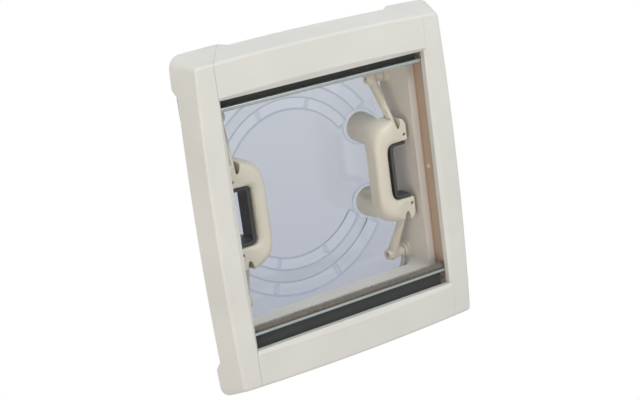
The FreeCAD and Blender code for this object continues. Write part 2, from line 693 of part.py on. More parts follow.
def dome_outline(grow):
    """Width, length and corner radius of the dome's rim, moved outwards by grow."""
    return (f"(dome_width + 2 * {grow})", f"(dome_length + 2 * {grow})", f"(dome_corner + {grow})")


def outer_dome():
    """The clear outer pane: crowned shell, flat rim and drip skirt."""
    shell = (*dome_outline("(-crown_foot)")[:2], "crown_foot_corner", "crown_lean", "(crown_rise + crown_trim)",
             OUTER_TOP, "crown_radius")
    outside = crowned_block("outer_pane", OUTER_RIM_UNDER, *shell, "0")
    inside = crowned_block("outer_pane_hollow", OUTER_RIM_UNDER, *shell, "(-pane)")
    rim = new_body("outer_rim")
    ring(rim, "outer_rim_plate", OUTER_RIM_UNDER, "rim_plate", dome_outline("0"), dome_outline("(-crown_foot - pane)"))
    ring(rim, "drip_skirt", f"{OUTER_RIM_UNDER} - rim_skirt", "rim_skirt", dome_outline("0"), dome_outline("(-pane)"))
    fillet(rim, lambda middle, ends: on_level(size(f"{OUTER_RIM_UNDER} + rim_plate"))(middle, ends)
           and (abs(middle.x) > size("dome_width / 2 - pane") or abs(middle.y) > size("dome_length / 2 - pane")
                or math.hypot(middle.x, middle.y) > size("dome_length / 2")), "rim_edge")
    shell = combine("Part::Cut", "outer_pane_shell", outside, inside)
    keep("outer_dome", fuse("outer_dome_solid", shell, rim))


def turned(name, corners, middle, span):
    """A section in radius and height turned about Z through a span, centred on an angle from X."""
    sketch = doc.addObject("Sketcher::SketchObject", name + "_section")
    sketch.Placement = Placement(Vector(0, 0, 0), Rotation(ACROSS, QUARTER_TURN))
    polygon(sketch, corners)
    feature = doc.addObject("Part::Revolution", name)
    feature.Source = sketch
    feature.Axis = UP
    feature.Base = Vector(0, 0, 0)
    feature.Symmetric = True
    feature.Solid = True
    feature.setExpression("Angle", bound(span))
    feature.Placement = Placement(Vector(0, 0, 0), Rotation(UP, middle))
    doc.recompute()
    return feature


def bead_section(inside, outside, inset, foot, head):
    """Trapezium of a bead on the pane's sphere; foot and head are heights above its top face."""
    mean = f"(({inside} + {outside}) / 2)"
    corners = []
    for radius, slope, height, sign in ((inside, "0", foot, "+"), (outside, "0", foot, "-"),
                                        (outside, "bead_slope", head, "-"), (inside, "bead_slope", head, "+")):
        at = radius if height == foot else mean
        fall = f"{at} * {at} / (2 * inner_radius)"
        corners.append((f"{radius} {sign} {inset} {sign} {slope}", f"{INNER_TOP} + {height} - {fall}"))
    return corners


def inner_dome():
    """The clear inner pane: crowned shell, rim, and ring-shaped stiffening beads pressed up into it."""
    edge = "(-pane - inner_rim_gap)"
    shell = (*dome_outline(f"({edge} - inner_foot)")[:2], "inner_foot_corner", "inner_lean",
             "(inner_rise + inner_pane + crown_trim)", INNER_TOP, "inner_radius")
    outside = crowned_block("inner_pane_sheet", RIM_UNDER, *shell, "0")
    inside = crowned_block("inner_pane_hollow", RIM_UNDER, *shell, "(-inner_pane)")
    rim = new_body("inner_rim_body")
    ring(rim, "inner_rim_plate", RIM_UNDER, "rim_plate", dome_outline(edge),
         (*dome_outline(f"({edge} - inner_foot - inner_pane)")[:2], "(inner_foot_corner - inner_pane)"))
    solid = [combine("Part::Cut", "inner_pane_shell", outside, inside), rim]
    grooves = []
    for end, middle in (("front", -QUARTER_TURN), ("rear", QUARTER_TURN)):
        for place in ("inner", "outer"):
            radii = (f"bead_{place}_from", f"bead_{place}_to")
            name = f"{end}_{place}_bead"
            section = bead_section(*radii, "0", "(-inner_pane / 2)", "bead_height")
            solid.append(turned(name, section, middle, "bead_span"))
            hollow = bead_section(*radii, "inner_pane", "(-2 * inner_pane)", "(bead_height - inner_pane)")
            side = "((bead_span - bead_middle) / 2 - bead_rib)"
            spans = [("middle", 0, "(bead_middle - bead_rib)")]
            offset = size("(bead_span + bead_middle) / 4")
            spans += [("left", -offset, side), ("right", offset, side)]
            for word, turn, span in spans:
                grooves.append(turned(f"{name}_{word}_groove", hollow, middle + turn, span))
    pane = fuse("inner_pane_with_beads", *solid)
    for number, groove in enumerate(grooves, 1):
        pane = combine("Part::Cut", f"inner_pane_groove_{number}", pane, groove)
    keep("inner_pane", pane)


# Handles, triggers and struts, made for one side and mirrored

def handle():
    """A C-shaped grip with a finger gap, two flared legs up to the dome and a slot for each strut."""
    body = new_body("handle_body")
    plan = sketch_on(body, "XY_Plane", "handle_plan", "handle_face")
    ends = (f"-{HANDLE_TIP}", "-finger_length / 2", "finger_length / 2", HANDLE_TIP)
    polygon(plan, [("handle_inside", ends[0]), (HANDLE_END, ends[0]), (HANDLE_END, ends[1]),
                   (FINGER_FROM, ends[1]), (FINGER_FROM, ends[2]), (HANDLE_END, ends[2]),
                   (HANDLE_END, ends[3]), ("handle_inside", ends[3])])
    pad(body, plan, "handle_depth")
    rounds = (("handle_inside", HANDLE_TIP, "handle_shoulder"),
              (HANDLE_END, HANDLE_TIP, "handle_end_round"),
              (FINGER_FROM, "finger_length / 2", "finger_round"))
    for x, y, radius in rounds:
        fillet(body, either(upright(size(x), size(y)), upright(size(x), -size(y))), radius)
    face = on_level(size("handle_face"))
    inside = size(FINGER_FROM) - NEAR
    half_gap = size("finger_length / 2") + NEAR
    fillet(body, lambda middle, ends: face(middle, ends)
           and not (middle.x > inside and abs(middle.y) < half_gap), "handle_edge")
    for name, sign in (("rear_leg", ""), ("front_leg", "-")):
        low = sketch_on(body, "XY_Plane", name + "_low", "handle_face + leg_start")
        circle(low, "leg_across", f"{sign}{LEG_ALONG}", "leg_radius")
        high = sketch_on(body, "XY_Plane", name + "_high", INNER_TOP)
        circle(high, "leg_foot_across", f"{sign}{LEG_FOOT_ALONG}", "foot_radius")
        loft(body, [low, high])
    for sign in ("", "-"):
        screw = sketch_on(body, "XY_Plane", "screw_recess" + ("_front" if sign else "_rear"), "handle_face")
        circle(screw, f"{HANDLE_END} - handle_screw_inset", f"{sign}(finger_length / 2 + handle_screw_beyond)",
               "handle_screw_radius")
        pocket(body, screw, "handle_screw_depth")
        slot = sketch_on(body, "YZ_Plane", "strut_slot" + ("_front" if sign else "_rear"), "slot_from")
        polygon(slot, [(f"{sign}{SLOT_INNER}", "slot_inner_low"), (f"{sign}{SLOT_OUTER}", "slot_outer_low"),
                       (f"{sign}{SLOT_OUTER}", "slot_outer_high"), (f"{sign}{SLOT_INNER}", "slot_inner_high")])
        pocket(body, slot, "slot_wide")
    ball = doc.addObject("Part::Sphere", "leg_trim")
    ball.setExpression("Radius", bound("inner_radius - inner_pane - leg_seat_gap"))
    ball.setExpression("Placement.Base.z", bound(f"{INNER_TOP} - inner_radius"))
    solid = combine("Part::Common", "handle_solid", body, ball)
    keep("right_handle", solid)
    keep("left_handle", mirror("left_handle_solid", solid, ACROSS))


def trigger():
    """The U-shaped release that lines the finger gap and slides towards the grip."""
    body = new_body("trigger_body")
    plan = sketch_on(body, "XY_Plane", "trigger_plan", "handle_face + trigger_set_back")
    back = f"({FINGER_FROM} + trigger_travel)"
    side = "(finger_length / 2 - trigger_side_gap)"
    end = f"({HANDLE_END} - trigger_short)"
    polygon(plan, [(back, f"-{side}"), (end, f"-{side}"), (end, f"-{side} + trigger_wall"),
                   (f"{back} + trigger_wall", f"-{side} + trigger_wall"),
                   (f"{back} + trigger_wall", f"{side} - trigger_wall"),
                   (end, f"{side} - trigger_wall"), (end, side), (back, side)])
    pad(body, plan, "trigger_depth")
    fillet(body, either(upright(size(back), size(side)), upright(size(back), -size(side))), "trigger_round")
    keep("right_trigger", body)
    keep("left_trigger", mirror("left_trigger_solid", body, ACROSS))


def strut():
    """A strut: eye in the handle, arm, and a boss with a pivot pin in the wall collar."""
    body = new_body("strut_body")
    run = f"sqrt(({PIVOT_ALONG} - {EYE_ALONG}) ^ 2 + (pivot_height - eye_height) ^ 2)"
    root = sketch_on(body, "XZ_Plane", "strut_root")
    circle(root, "strut_pivot_across", "0", "strut_pivot_radius")
    tip = sketch_on(body, "XZ_Plane", "strut_tip", run)
    circle(tip, "strut_eye_across", "0", "strut_eye_radius")
    loft(body, [root, tip])
    eye = sketch_on(body, "YZ_Plane", "strut_eye", "strut_eye_across - strut_eye_wide / 2")
    circle(eye, f"-{run}", "0", "strut_eye_radius")
    pad(body, eye, "strut_eye_wide")
    nose = f"({CHEEK} - collar_flange - collar_nose)"
    boss = sketch_on(body, "YZ_Plane", "strut_boss", "boss_from")
    circle(boss, "0", "0", "strut_pivot_radius")
    pad(body, boss, f"{nose} - collar_gap - boss_from")
    pin = sketch_on(body, "YZ_Plane", "strut_pin", "boss_from")
    circle(pin, "0", "0", "pin_radius")
    pad(body, pin, f"{CHEEK} - collar_gap - boss_from")
    bore = sketch_on(body, "YZ_Plane", "boss_hollow", "boss_from")
    circle(bore, "0", "0", "boss_bore")
    pocket(body, bore, "boss_bore_depth")
    fall = math.degrees(math.atan2(size("pivot_height - eye_height"), size(f"{PIVOT_ALONG} - {EYE_ALONG}")))
    body.Placement = Placement(Vector(0, size(PIVOT_ALONG), size("pivot_height")), Rotation(ACROSS, fall))
    doc.recompute()
    keep("rear_right_strut", body)
    front = keep("front_right_strut", mirror("front_right_strut_solid", body, ALONG))
    keep("rear_left_strut", mirror("rear_left_strut_solid", body, ACROSS))
    keep("front_left_strut", mirror("front_left_strut_solid", front, ACROSS))


def collar():
    """The collar on the neck wall that a strut's pin turns in."""
    foot = f"({CHEEK} - collar_flange)"
    place = (PIVOT_ALONG, "pivot_height")
    flange = cylinder("collar_flange_disc", (foot, *place), "collar_flange_radius", "collar_flange")
    nose = cylinder("collar_nose_disc", (f"{foot} - collar_nose", *place), "collar_radius", "collar_nose")
    bore = cylinder("collar_bore", (f"{foot} - collar_nose", *place), "pin_radius + pin_gap",
                    "collar_nose + collar_flange")
    solid = combine("Part::Cut", "collar_solid", fuse("collar_blank", flange, nose), bore)
    keep("rear_right_collar", solid)
    front = keep("front_right_collar", mirror("front_right_collar_solid", solid, ALONG))
    keep("rear_left_collar", mirror("rear_left_collar_solid", solid, ACROSS))
    keep("front_left_collar", mirror("front_left_collar_solid", front, ACROSS))


# Blinds

def blind_roll(name, along):
    """A wound blind on an axle between the two side rails."""
    wound = cylinder(name + "_wound", ("-roll_length / 2", along, "roll_height"), "roll_radius", "roll_length")
    reach = f"({GUIDE} + guide_wall)"
    axle = cylinder(name + "_axle", (f"-{reach}", along, "roll_height"), "axle_radius", f"2 * {reach}")
    keep(name, fuse(name + "_solid", wound, axle))


def blind_fabric(name, near, far):
    """The taut run of fabric from the underside of the roll to its pull bar."""
    keep(name, box(name + "_run", ("-fabric_width / 2", near, f"{FABRIC_TOP} - fabric"),
                   ("fabric_width / 2", far, FABRIC_TOP)))


def extrusion(name, corners):
    """A bar across the hatch with that section, given as Y and Z."""
    body = new_body(name + "_body")
    section = sketch_on(body, "YZ_Plane", name + "_section", f"-{BAR_END}")
    polygon(section, corners)
    pad(body, section, f"2 * {BAR_END}")
    return body


def pull_bars():
    """The front pull bar with its grooved nose, the rear one with lip and web, and its brush."""
    top = f"({BAR_FACE} + bar_height)"
    back = f"({FRONT_NOSE} - front_bar_width)"
    middle = f"({FRONT_NOSE} - front_bar_width / 2)"
    body = extrusion("front_pull_bar", [
        (back, BAR_FACE), (f"{middle} - front_bar_groove", BAR_FACE),
        (middle, f"{BAR_FACE} + front_bar_groove"), (f"{middle} + front_bar_groove", BAR_FACE),
        (f"{FRONT_NOSE} - front_bar_round", BAR_FACE), (FRONT_NOSE, f"{BAR_FACE} + front_bar_round"),
        (FRONT_NOSE, f"{top} - front_bar_round"), (f"{FRONT_NOSE} - front_bar_round", top), (back, top)])
    keep("front_pull_bar", body)
    lip = f"({REAR_NOSE} + rear_bar_lip)"
    web = f"({FABRIC_TOP} + fabric_gap)"
    body = extrusion("rear_pull_bar", [
        (REAR_NOSE, BAR_FACE), (lip, BAR_FACE), (lip, web), (f"{lip} + rear_bar_web", web),
        (f"{lip} + rear_bar_web", f"{web} + rear_bar_web_plate"),
        (REAR_NOSE, f"{web} + rear_bar_web_plate")])
    keep("rear_pull_bar", body)
    foot = f"({BAR_FACE} + brush_set_back)"
    keep("rear_bar_brush", box("brush_block", (f"-{BAR_END}", f"{REAR_NOSE} - brush_pile", foot),
                               (BAR_END, REAR_NOSE, f"{foot} + brush_height")))


def blinds():
    """Both roller blinds, drawn back into their covers."""
    blind_roll("front_blind_roll", f"-{ROLL_ALONG}")
    blind_roll("rear_blind_roll", ROLL_ALONG)
    pull_bars()
    blind_fabric("front_blind_fabric", f"-{ROLL_ALONG}", f"{FRONT_NOSE} - front_bar_width")
    blind_fabric("rear_blind_fabric", f"{REAR_NOSE} + rear_bar_lip", ROLL_ALONG)


def check_and_write():
    """Stops on a failed object or shape, then writes every sub-part to its file."""
    doc.recompute()
    for thing in doc.Objects:
        if "Invalid" in thing.State or "Error" in thing.State:
            raise RuntimeError(f"{thing.Name} failed: {thing.State}")
    for name, piece in PIECES.items():
        if piece.Shape.isNull() or not piece.Shape.isValid() or not piece.Shape.Solids:
            raise RuntimeError(f"{name} is not a sound solid")
    os.makedirs("parts", exist_ok=True)
    for name, piece in PIECES.items():
        piece.Shape.exportStep(f"parts/{name}.step")


def main():
    """Builds the hatch from the roof down to the ceiling."""
    outer_frame()
    dome_seal()
    clamp_frame()
    covers_and_rails()
    outer_dome()
    inner_dome()
    handle()
    trigger()
    strut()
    collar()
    blinds()
    check_and_write()


main()
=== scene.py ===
"""Looks of a camper roof hatch, laid out as an add-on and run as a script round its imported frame.

Metres. Z points up to the sky, X from the left handle to the right one, and Y from the front blind to the
rear one. The camera looks up at the hatch from inside the camper.
"""

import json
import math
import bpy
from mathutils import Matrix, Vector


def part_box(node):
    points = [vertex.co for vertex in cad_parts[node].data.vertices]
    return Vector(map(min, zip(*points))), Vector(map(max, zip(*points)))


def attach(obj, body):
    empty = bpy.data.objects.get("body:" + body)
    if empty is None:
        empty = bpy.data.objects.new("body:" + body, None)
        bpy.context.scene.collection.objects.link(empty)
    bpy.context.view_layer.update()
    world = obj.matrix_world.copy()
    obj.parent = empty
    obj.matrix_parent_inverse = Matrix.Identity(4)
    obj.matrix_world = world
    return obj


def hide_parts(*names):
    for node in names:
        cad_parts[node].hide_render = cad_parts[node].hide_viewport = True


bl_info = {
    "name": "Camper roof hatch",
    "version": (1, 0, 0),
    "blender": (4, 5, 0),
    "location": "3D View > Sidebar > Hatch",
    "description": "Dresses the frame of a camper roof hatch with its panes, handles, blinds and finishes",
    "category": "Object",
}

import bpy
import numpy as np
from mathutils import Quaternion, Vector

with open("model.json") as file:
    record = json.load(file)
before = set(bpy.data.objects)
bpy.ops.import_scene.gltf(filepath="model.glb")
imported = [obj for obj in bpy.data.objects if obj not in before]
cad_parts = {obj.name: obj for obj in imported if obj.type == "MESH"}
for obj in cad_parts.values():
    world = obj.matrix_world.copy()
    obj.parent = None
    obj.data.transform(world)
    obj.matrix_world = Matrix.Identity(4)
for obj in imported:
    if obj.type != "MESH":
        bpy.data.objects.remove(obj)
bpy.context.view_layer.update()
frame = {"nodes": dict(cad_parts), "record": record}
NODES = frame["nodes"]
MM = 0.001
TINY = 1e-9


def corners(node):
    """Lowest and highest corner of a node's box, in millimetres."""
    low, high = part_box(node)
    return np.array(low) / MM, np.array(high) / MM


# Meshes from arrays


def mesh_piece(name, points, faces, body, slot, *nodes):
    """A smooth-shaded piece from points in millimetres and faces of equal length; it stands for the nodes."""
    mesh = bpy.data.meshes.new(name)
    faces = np.asarray(faces, dtype=np.int32)
    count, sides = faces.shape
    mesh.vertices.add(len(points))
    mesh.vertices.foreach_set("co", (np.asarray(points) * MM).astype(np.float32).ravel())
    mesh.loops.add(count * sides)
    mesh.loops.foreach_set("vertex_index", faces.ravel())
    mesh.polygons.add(count)
    mesh.polygons.foreach_set("loop_start", np.arange(0, count * sides, sides, dtype=np.int32))
    mesh.polygons.foreach_set("use_smooth", np.ones(count, dtype=bool))
    mesh.update(calc_edges=True)
    mesh.validate()
    piece = bpy.data.objects.new(name, mesh)
    bpy.context.scene.collection.objects.link(piece)
    mesh.materials.append(MATERIALS[slot])
    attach(piece, body)
    if nodes:
        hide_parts(*nodes)
    return piece


def grid_faces(rows, columns):
    """Quads over a grid of points that closes on itself along its rows."""
    row, column = np.meshgrid(np.arange(rows - 1), np.arange(columns), indexing="ij")
    beside = (column + 1) % columns
    quads = [row * columns + column, row * columns + beside, (row + 1) * columns + beside,
             (row + 1) * columns + column]
    return np.stack(quads, axis=-1).reshape(-1, 4)


def cap_faces(first, columns, middle):
    """Quads from an even ring of points to one point in its middle."""
    start = np.arange(0, columns, 2)
    ring = [first + start, first + (start + 1) % columns, first + (start + 2) % columns]
    return np.stack([*ring, np.full(len(start), middle)], axis=-1)


# Solids as distance fields: each takes points in millimetres and gives the distance to a surface,
# negative inside

MARGIN_STEPS = 8
SETTLE_TURNS = 3
LEAST_SLOPE = 0.25


def smooth_least(a, b, width):
    """The lesser of two fields with a soft change-over: lesser less a quarter of the squared overlap."""
    overlap = np.maximum(width - np.abs(a - b), 0) / width
    return np.minimum(a, b) - overlap * overlap * width / 4


def smooth_cut(a, b, width):
    """The first field with the second one taken out, with a soft edge."""
    return -smooth_least(-a, b, width)


def cone(p, start, end, start_radius, end_radius):
    """A rod with round ends: distance to its middle line less a radius that changes evenly along it."""
    start, end = np.asarray(start, float), np.asarray(end, float)
    along = end - start
    part = np.clip((p - start) @ along / (along @ along), 0, 1)
    nearest = start + part[..., None] * along
    return np.linalg.norm(p - nearest, axis=-1) - (start_radius + (end_radius - start_radius) * part)


def drum(p, start, length, radius, edge):
    """A drum along X from its start with rounded edges: the distance in radius and length, rounded off."""
    across = np.hypot(p[..., 1] - start[1], p[..., 2] - start[2]) - radius + edge
    along = np.abs(p[..., 0] - start[0] - length / 2) - length / 2 + edge
    return rounded_off(across, along, edge)


def rounded_off(a, b, edge):
    """Two distances at right angles joined as one solid with a round edge."""
    outside = np.hypot(np.maximum(a, 0), np.maximum(b, 0))
    return outside + np.minimum(np.maximum(a, b), 0) - edge


def plan_rectangle(p, low, high, round_low, round_high):
    """A rectangle in plan with one corner radius at its low X side and another at its high X side."""
    middle = (np.asarray(low) + np.asarray(high)) / 2
    half = (np.asarray(high) - np.asarray(low)) / 2
    x, y = p[..., 0] - middle[0], p[..., 1] - middle[1]
    radius = np.where(x < 0, round_low, round_high)
    over_x, over_y = np.abs(x) - half[0] + radius, np.abs(y) - half[1] + radius
    return rounded_off(over_x, over_y, radius)


def extruded(plan, p, low, high, edge):
    """A plan field given a height, with rounded edges all round."""
    level = np.abs(p[..., 2] - (low + high) / 2) - (high - low) / 2 + edge
    return rounded_off(plan + edge, level, edge)


def wedge(p, corners_yz):
    """A prism along X over a convex outline in Y and Z: the greatest distance to its sides."""
    corners_yz = np.asarray(corners_yz, float)
    found = None
    for here, there in zip(corners_yz, np.roll(corners_yz, -1, axis=0)):
        run = there - here
        normal = np.array([run[1], -run[0]]) / np.linalg.norm(run)
        side = (p[..., 1] - here[0]) * normal[0] + (p[..., 2] - here[1]) * normal[1]
        found = side if found is None else np.maximum(found, side)
    return found


def polygonised(field, low, high, step):
    """Points and quads of a field's zero surface.

    Every grid edge that changes sign gives its crossing to the four cells round it. A cell's point is the
    mean of its crossings, moved along the slope onto the surface, and each crossed edge gives one quad.
    """
    margin = MARGIN_STEPS * step
    axes = [np.arange(a - margin, b + margin, step) for a, b in zip(low, high)]
    grid = np.stack(np.meshgrid(*axes, indexing="ij"), axis=-1)
    value = field(grid)
    shape = np.array(value.shape)
    total = np.zeros((*(shape - 1), 3))
    count = np.zeros(shape - 1)
    crossings = []
    for axis in range(3):
        lower = np.take(value, np.arange(shape[axis] - 1), axis)
        upper = np.take(value, np.arange(1, shape[axis]), axis)
        crossed = (lower < 0) != (upper < 0)
        part = np.where(crossed, lower / np.where(crossed, lower - upper, 1), 0)
        point = np.take(grid, np.arange(shape[axis] - 1), axis).copy()
        point[..., axis] += part * step
        b, c = (axis + 1) % 3, (axis + 2) % 3
        for back_b in (0, 1):
            for back_c in (0, 1):
                pick = [slice(None)] * 3
                pick[b] = slice(back_b, shape[b] - 1 + back_b)
                pick[c] = slice(back_c, shape[c] - 1 + back_c)
                pick = tuple(pick)
                total += np.where(crossed[pick][..., None], point[pick], 0)
                count += crossed[pick]
        crossings.append((axis, crossed, lower < 0))
    used = count > 0
    number = np.full(used.shape, -1)
    number[used] = np.arange(used.sum())
    points = total[used] / count[used][:, None]
    quads = []
    for axis, crossed, rising in crossings:
        place = np.argwhere(crossed)
        outward = rising[crossed]
        b, c = (axis + 1) % 3, (axis + 2) % 3
        sides = []
        for step_b, step_c in ((1, 1), (0, 1), (0, 0), (1, 0)):
            cell = place.copy()
            cell[:, b] -= step_b
            cell[:, c] -= step_c
            sides.append(number[tuple(cell.T)])
        quad = np.stack(sides, axis=-1)
        quads.append(np.where(outward[:, None], quad, quad[:, ::-1]))
    probe = step / 4
    for _ in range(SETTLE_TURNS):
        change = [field(points + probe * way) - field(points - probe * way) for way in np.eye(3)]
        slope = np.stack(change, axis=-1) / (2 * probe)
        length = np.maximum((slope * slope).sum(axis=-1), LEAST_SLOPE)
        points = points - np.clip(field(points) / length, -step / 2, step / 2)[:, None] * slope
    return points, np.concatenate(quads)


def both_sides(name, points, faces, slot, bodies, nodes):
    """The piece and its mirror image across the middle plane, for the right and the left side."""
    for side, sign in (("right", 1), ("left", -1)):
        order = faces if sign > 0 else faces[:, ::-1]
        mesh_piece(f"{side}_{name}", points * (sign, 1, 1), order, bodies[side], slot, nodes[side])


# Handles, triggers and struts

PAST = 20
PANE_SPHERE = 1200
SCREW_INSET = 5.2
SCREW_BEYOND = 8.5


def handle_field(size):
    """The right handle: a C-shaped grip and two flared legs, with slots for the struts and screw recesses.

    A slot is what a strut's end sweeps from rest to full lift, made wider all round by the slot's radius.
    """
    low, high = corners("right_handle")
    pane_top = corners("inner_pane")[1][2]
    pane_gap = 2.6
    face, back = low[2], low[2] + size.handle_depth / MM
    finger = size.finger_length / MM / 2
    tip = finger + size.handle_arm / MM
    inside = low[0] + size.grip_width / MM
    shoulder, end_round, finger_round = 36, 10, 7
    soft_edge, sharp_edge, edge_start, edge_run = 8.5, 3.5, 102, 16
    leg_low, leg_high = (101, 46.5, face + 18), (110.5, 51, pane_top - 4)
    leg_radii = (16.5, 20.5)
    dent_middle, dent_reach = (96, 34, 90), (9, 4, 16)
    slot_sweep = [(47, 47.7), (78, 37.6), (78, 61), (47, 48.4)]
    slot_rest = [(44, 46.8), (53, 46.8), (53, 48.4), (44, 48.4)]
    slot_place, slot_squeeze, slot_radius = 117.0, 1.18, 5.7
    recess_radius, recess_depth = 2.2, 10
    below, above = 10, 4

    def field(p):
        mirrored = p * (1, 0, 1) + np.abs(p) * (0, 1, 0)
        plan = plan_rectangle(p, (low[0], -tip), (high[0], tip), shoulder, end_round)
        gap = plan_rectangle(p, (inside, -finger), (high[0] + 2 * PAST, finger), finger_round, 0)
        edge = soft_edge - (soft_edge - sharp_edge) * step_up(p[..., 0], edge_start, edge_run)
        grip = extruded(smooth_cut(plan, gap, width=2.0), p, face, back, edge)
        leg = cone(mirrored, leg_low, leg_high, *leg_radii)
        solid = smooth_least(grip, leg, width=12.0)
        dent = (np.linalg.norm((p - dent_middle) / dent_reach, axis=-1) - 1) * min(dent_reach)
        solid = smooth_cut(solid, dent, width=5.0)
        swing = np.minimum(wedge(mirrored, slot_sweep), wedge(mirrored, slot_rest))
        slot = np.hypot(np.maximum(swing, 0), (p[..., 0] - slot_place) * slot_squeeze) - slot_radius
        solid = smooth_cut(solid, slot, width=0.9)
        bore = np.hypot(p[..., 0] - high[0] + SCREW_INSET, mirrored[..., 1] - finger - SCREW_BEYOND)
        recess = np.maximum(bore - recess_radius, p[..., 2] - face - recess_depth)
        solid = smooth_cut(solid, recess, width=0.7)
        keep_gap = extruded(gap, p, face - below, back + above, edge=0.5)
        solid = smooth_cut(solid, keep_gap, width=1.5)
        ball = np.linalg.norm(p - (0, 0, pane_top - PANE_SPHERE), axis=-1) - (PANE_SPHERE - pane_gap)
        return np.maximum(solid, ball)

    return field, low, high


def make_handles(size):
    """Both handles on the dome."""
    field, low, high = handle_field(size)
    points, faces = polygonised(field, low, high, step=0.85)
    names = {"right": "right_handle", "left": "left_handle"}
    both_sides("grip", points, faces, "handle_plastic", {"right": "dome", "left": "dome"}, names)


def make_triggers(size):
    """Both release bars: a U that lines the finger gap, with round inner corners and softened edges."""
    low, high = corners("right_trigger")
    side_gap, wall = 0.4, 4.2
    outer_round, inner_round = 6, 3.5
    low[1], high[1] = side_gap - size.finger_length / MM / 2, size.finger_length / MM / 2 - side_gap

    def field(p):
        outside = plan_rectangle(p, low[:2], (high[0] + PAST, high[1]), outer_round, 0)
        inside = plan_rectangle(p, low[:2] + wall, (high[0] + 2 * PAST, high[1] - wall), inner_round, 0)
        plan = np.maximum(np.maximum(outside, -inside), p[..., 0] - high[0])
        return extruded(plan, p, low[2], high[2], edge=0.9)

    points, faces = polygonised(field, low, high, step=0.75)
    names = {"right": "right_trigger", "left": "left_trigger"}
    both_sides("release", points, faces, "trigger_plastic", names, names)


def make_struts():
    """Four struts: a tapered arm, a hollow boss and pin at the wall, a round end and a small slot."""
    low, high = corners("rear_right_strut")
    pivot = np.array((112.0, 118.0, 80.0))
    eye = np.array((118.0, 52.0, 47.0))
    run = (eye - pivot) / np.linalg.norm(eye - pivot)
    flat = np.array((1.45, 1, 1))
    arm_radii = (8.2, 4.4)
    boss_end, boss_radius = 128.5, 7
    pin_start, pin_radius = 110, 4
    bore_start, bore_length, bore_radius = low[0] - 5, 12, 2.5
    slot_along, slot_half, slot_radius = 50, 3, 1.8
    slot_middle = pivot + run * slot_along + (-3.4, 0, -2)

    def field(p):
        arm = cone(p * flat, pivot * flat, eye * flat, *arm_radii)
        boss = drum(p, (low[0], *pivot[1:]), boss_end - low[0], boss_radius, edge=1.4)
        pin = drum(p, (pin_start, *pivot[1:]), high[0] - pin_start, pin_radius, edge=0.5)
        bore = drum(p, (bore_start, *pivot[1:]), bore_length, bore_radius, edge=0.3)
        solid = np.minimum(smooth_least(arm, boss, width=3.5), pin)
        solid = smooth_cut(solid, bore, width=0.6)
        cut = cone(p, slot_middle - run * slot_half, slot_middle + run * slot_half, slot_radius, slot_radius)
        return smooth_cut(solid, cut, width=0.5)

    points, faces = polygonised(field, low, high, step=0.7)
    for end, sign in (("rear", 1), ("front", -1)):
        names = {side: f"{end}_{side}_strut" for side in ("right", "left")}
        order = faces if sign > 0 else faces[:, ::-1]
        both_sides(f"{end}_arm", points * (1, sign, 1), order, "handle_plastic", names, names)


# Panes

AROUND = 360
LEAST_ROUND = 6
SIDE_RISE = 4.4
COVER_SPHERE = 900
BEAD_RADII = ((95, 113), (126, 146))
BEAD_HEIGHT = 1.35
BEAD_SLOPE = 3.2
BEAD_TURN = 54
BEAD_END_SLOPE = 2.5
RIB_TURN = 20
RIB_HALF = 0.7
RIB_SIDE_SLOPE = 1.2
RIB_INSET = 2.5
RIB_END_SLOPE = 2
RIB_PART = 0.55
PAD_MIDDLE = (109.5, 51.5)
PAD_STRETCH = 1.04
PAD_RADIUS = 22.5
PAD_SLOPE = 2.2
PAD_HEIGHT = 0.8


def outline(half_width, half_length, radius, count):
    """Points round a rectangle with round corners, evenly spread by their turn from the middle."""
    turn = np.arange(count) * 2 * math.pi / count
    way = np.stack([np.cos(turn), np.sin(turn)], axis=-1)
    reach = np.minimum(half_width / np.maximum(np.abs(way[:, 0]), TINY),
                       half_length / np.maximum(np.abs(way[:, 1]), TINY))
    middle = np.array([half_width - radius, half_length - radius])
    side = np.abs(way) @ middle
    inner = side ** 2 - middle @ middle + radius ** 2
    corner = side + np.sqrt(np.maximum(inner, 0))
    at = np.abs(way) * corner[:, None]
    in_corner = (inner > 0) & (at[:, 0] > middle[0]) & (at[:, 1] > middle[1])
    return way * np.where(in_corner, corner, reach)[:, None]


def closed_rings(rings, top, under):
    """Points and quads of stacked rings closed by a point at each end."""
    count = len(rings[0])
    points = np.concatenate([*rings, [top], [under]])
    body = grid_faces(len(rings), count)
    last = len(rings) * count
    first_cap = cap_faces(0, count, last)
    last_cap = cap_faces(last - count, count, last + 1)[:, ::-1]
    return points, np.concatenate([body[:, ::-1], first_cap, last_cap])


def raised(ring, height):
    """A ring of plan points at a height, given as a number or one for each point."""
    return np.column_stack([ring, np.broadcast_to(height, len(ring))])


def step_up(value, start, width):
    """A smooth step from 0 to 1 that begins at start: three times the square less twice the cube."""
    part = np.clip((value - start) / width, 0, 1)
    return part * part * (3 - 2 * part)


def between(value, start, end, width):
    """A smooth step up that begins at start, times a smooth step down that ends at end."""
    return step_up(value, start, width) * (1 - step_up(value, end - width, width))


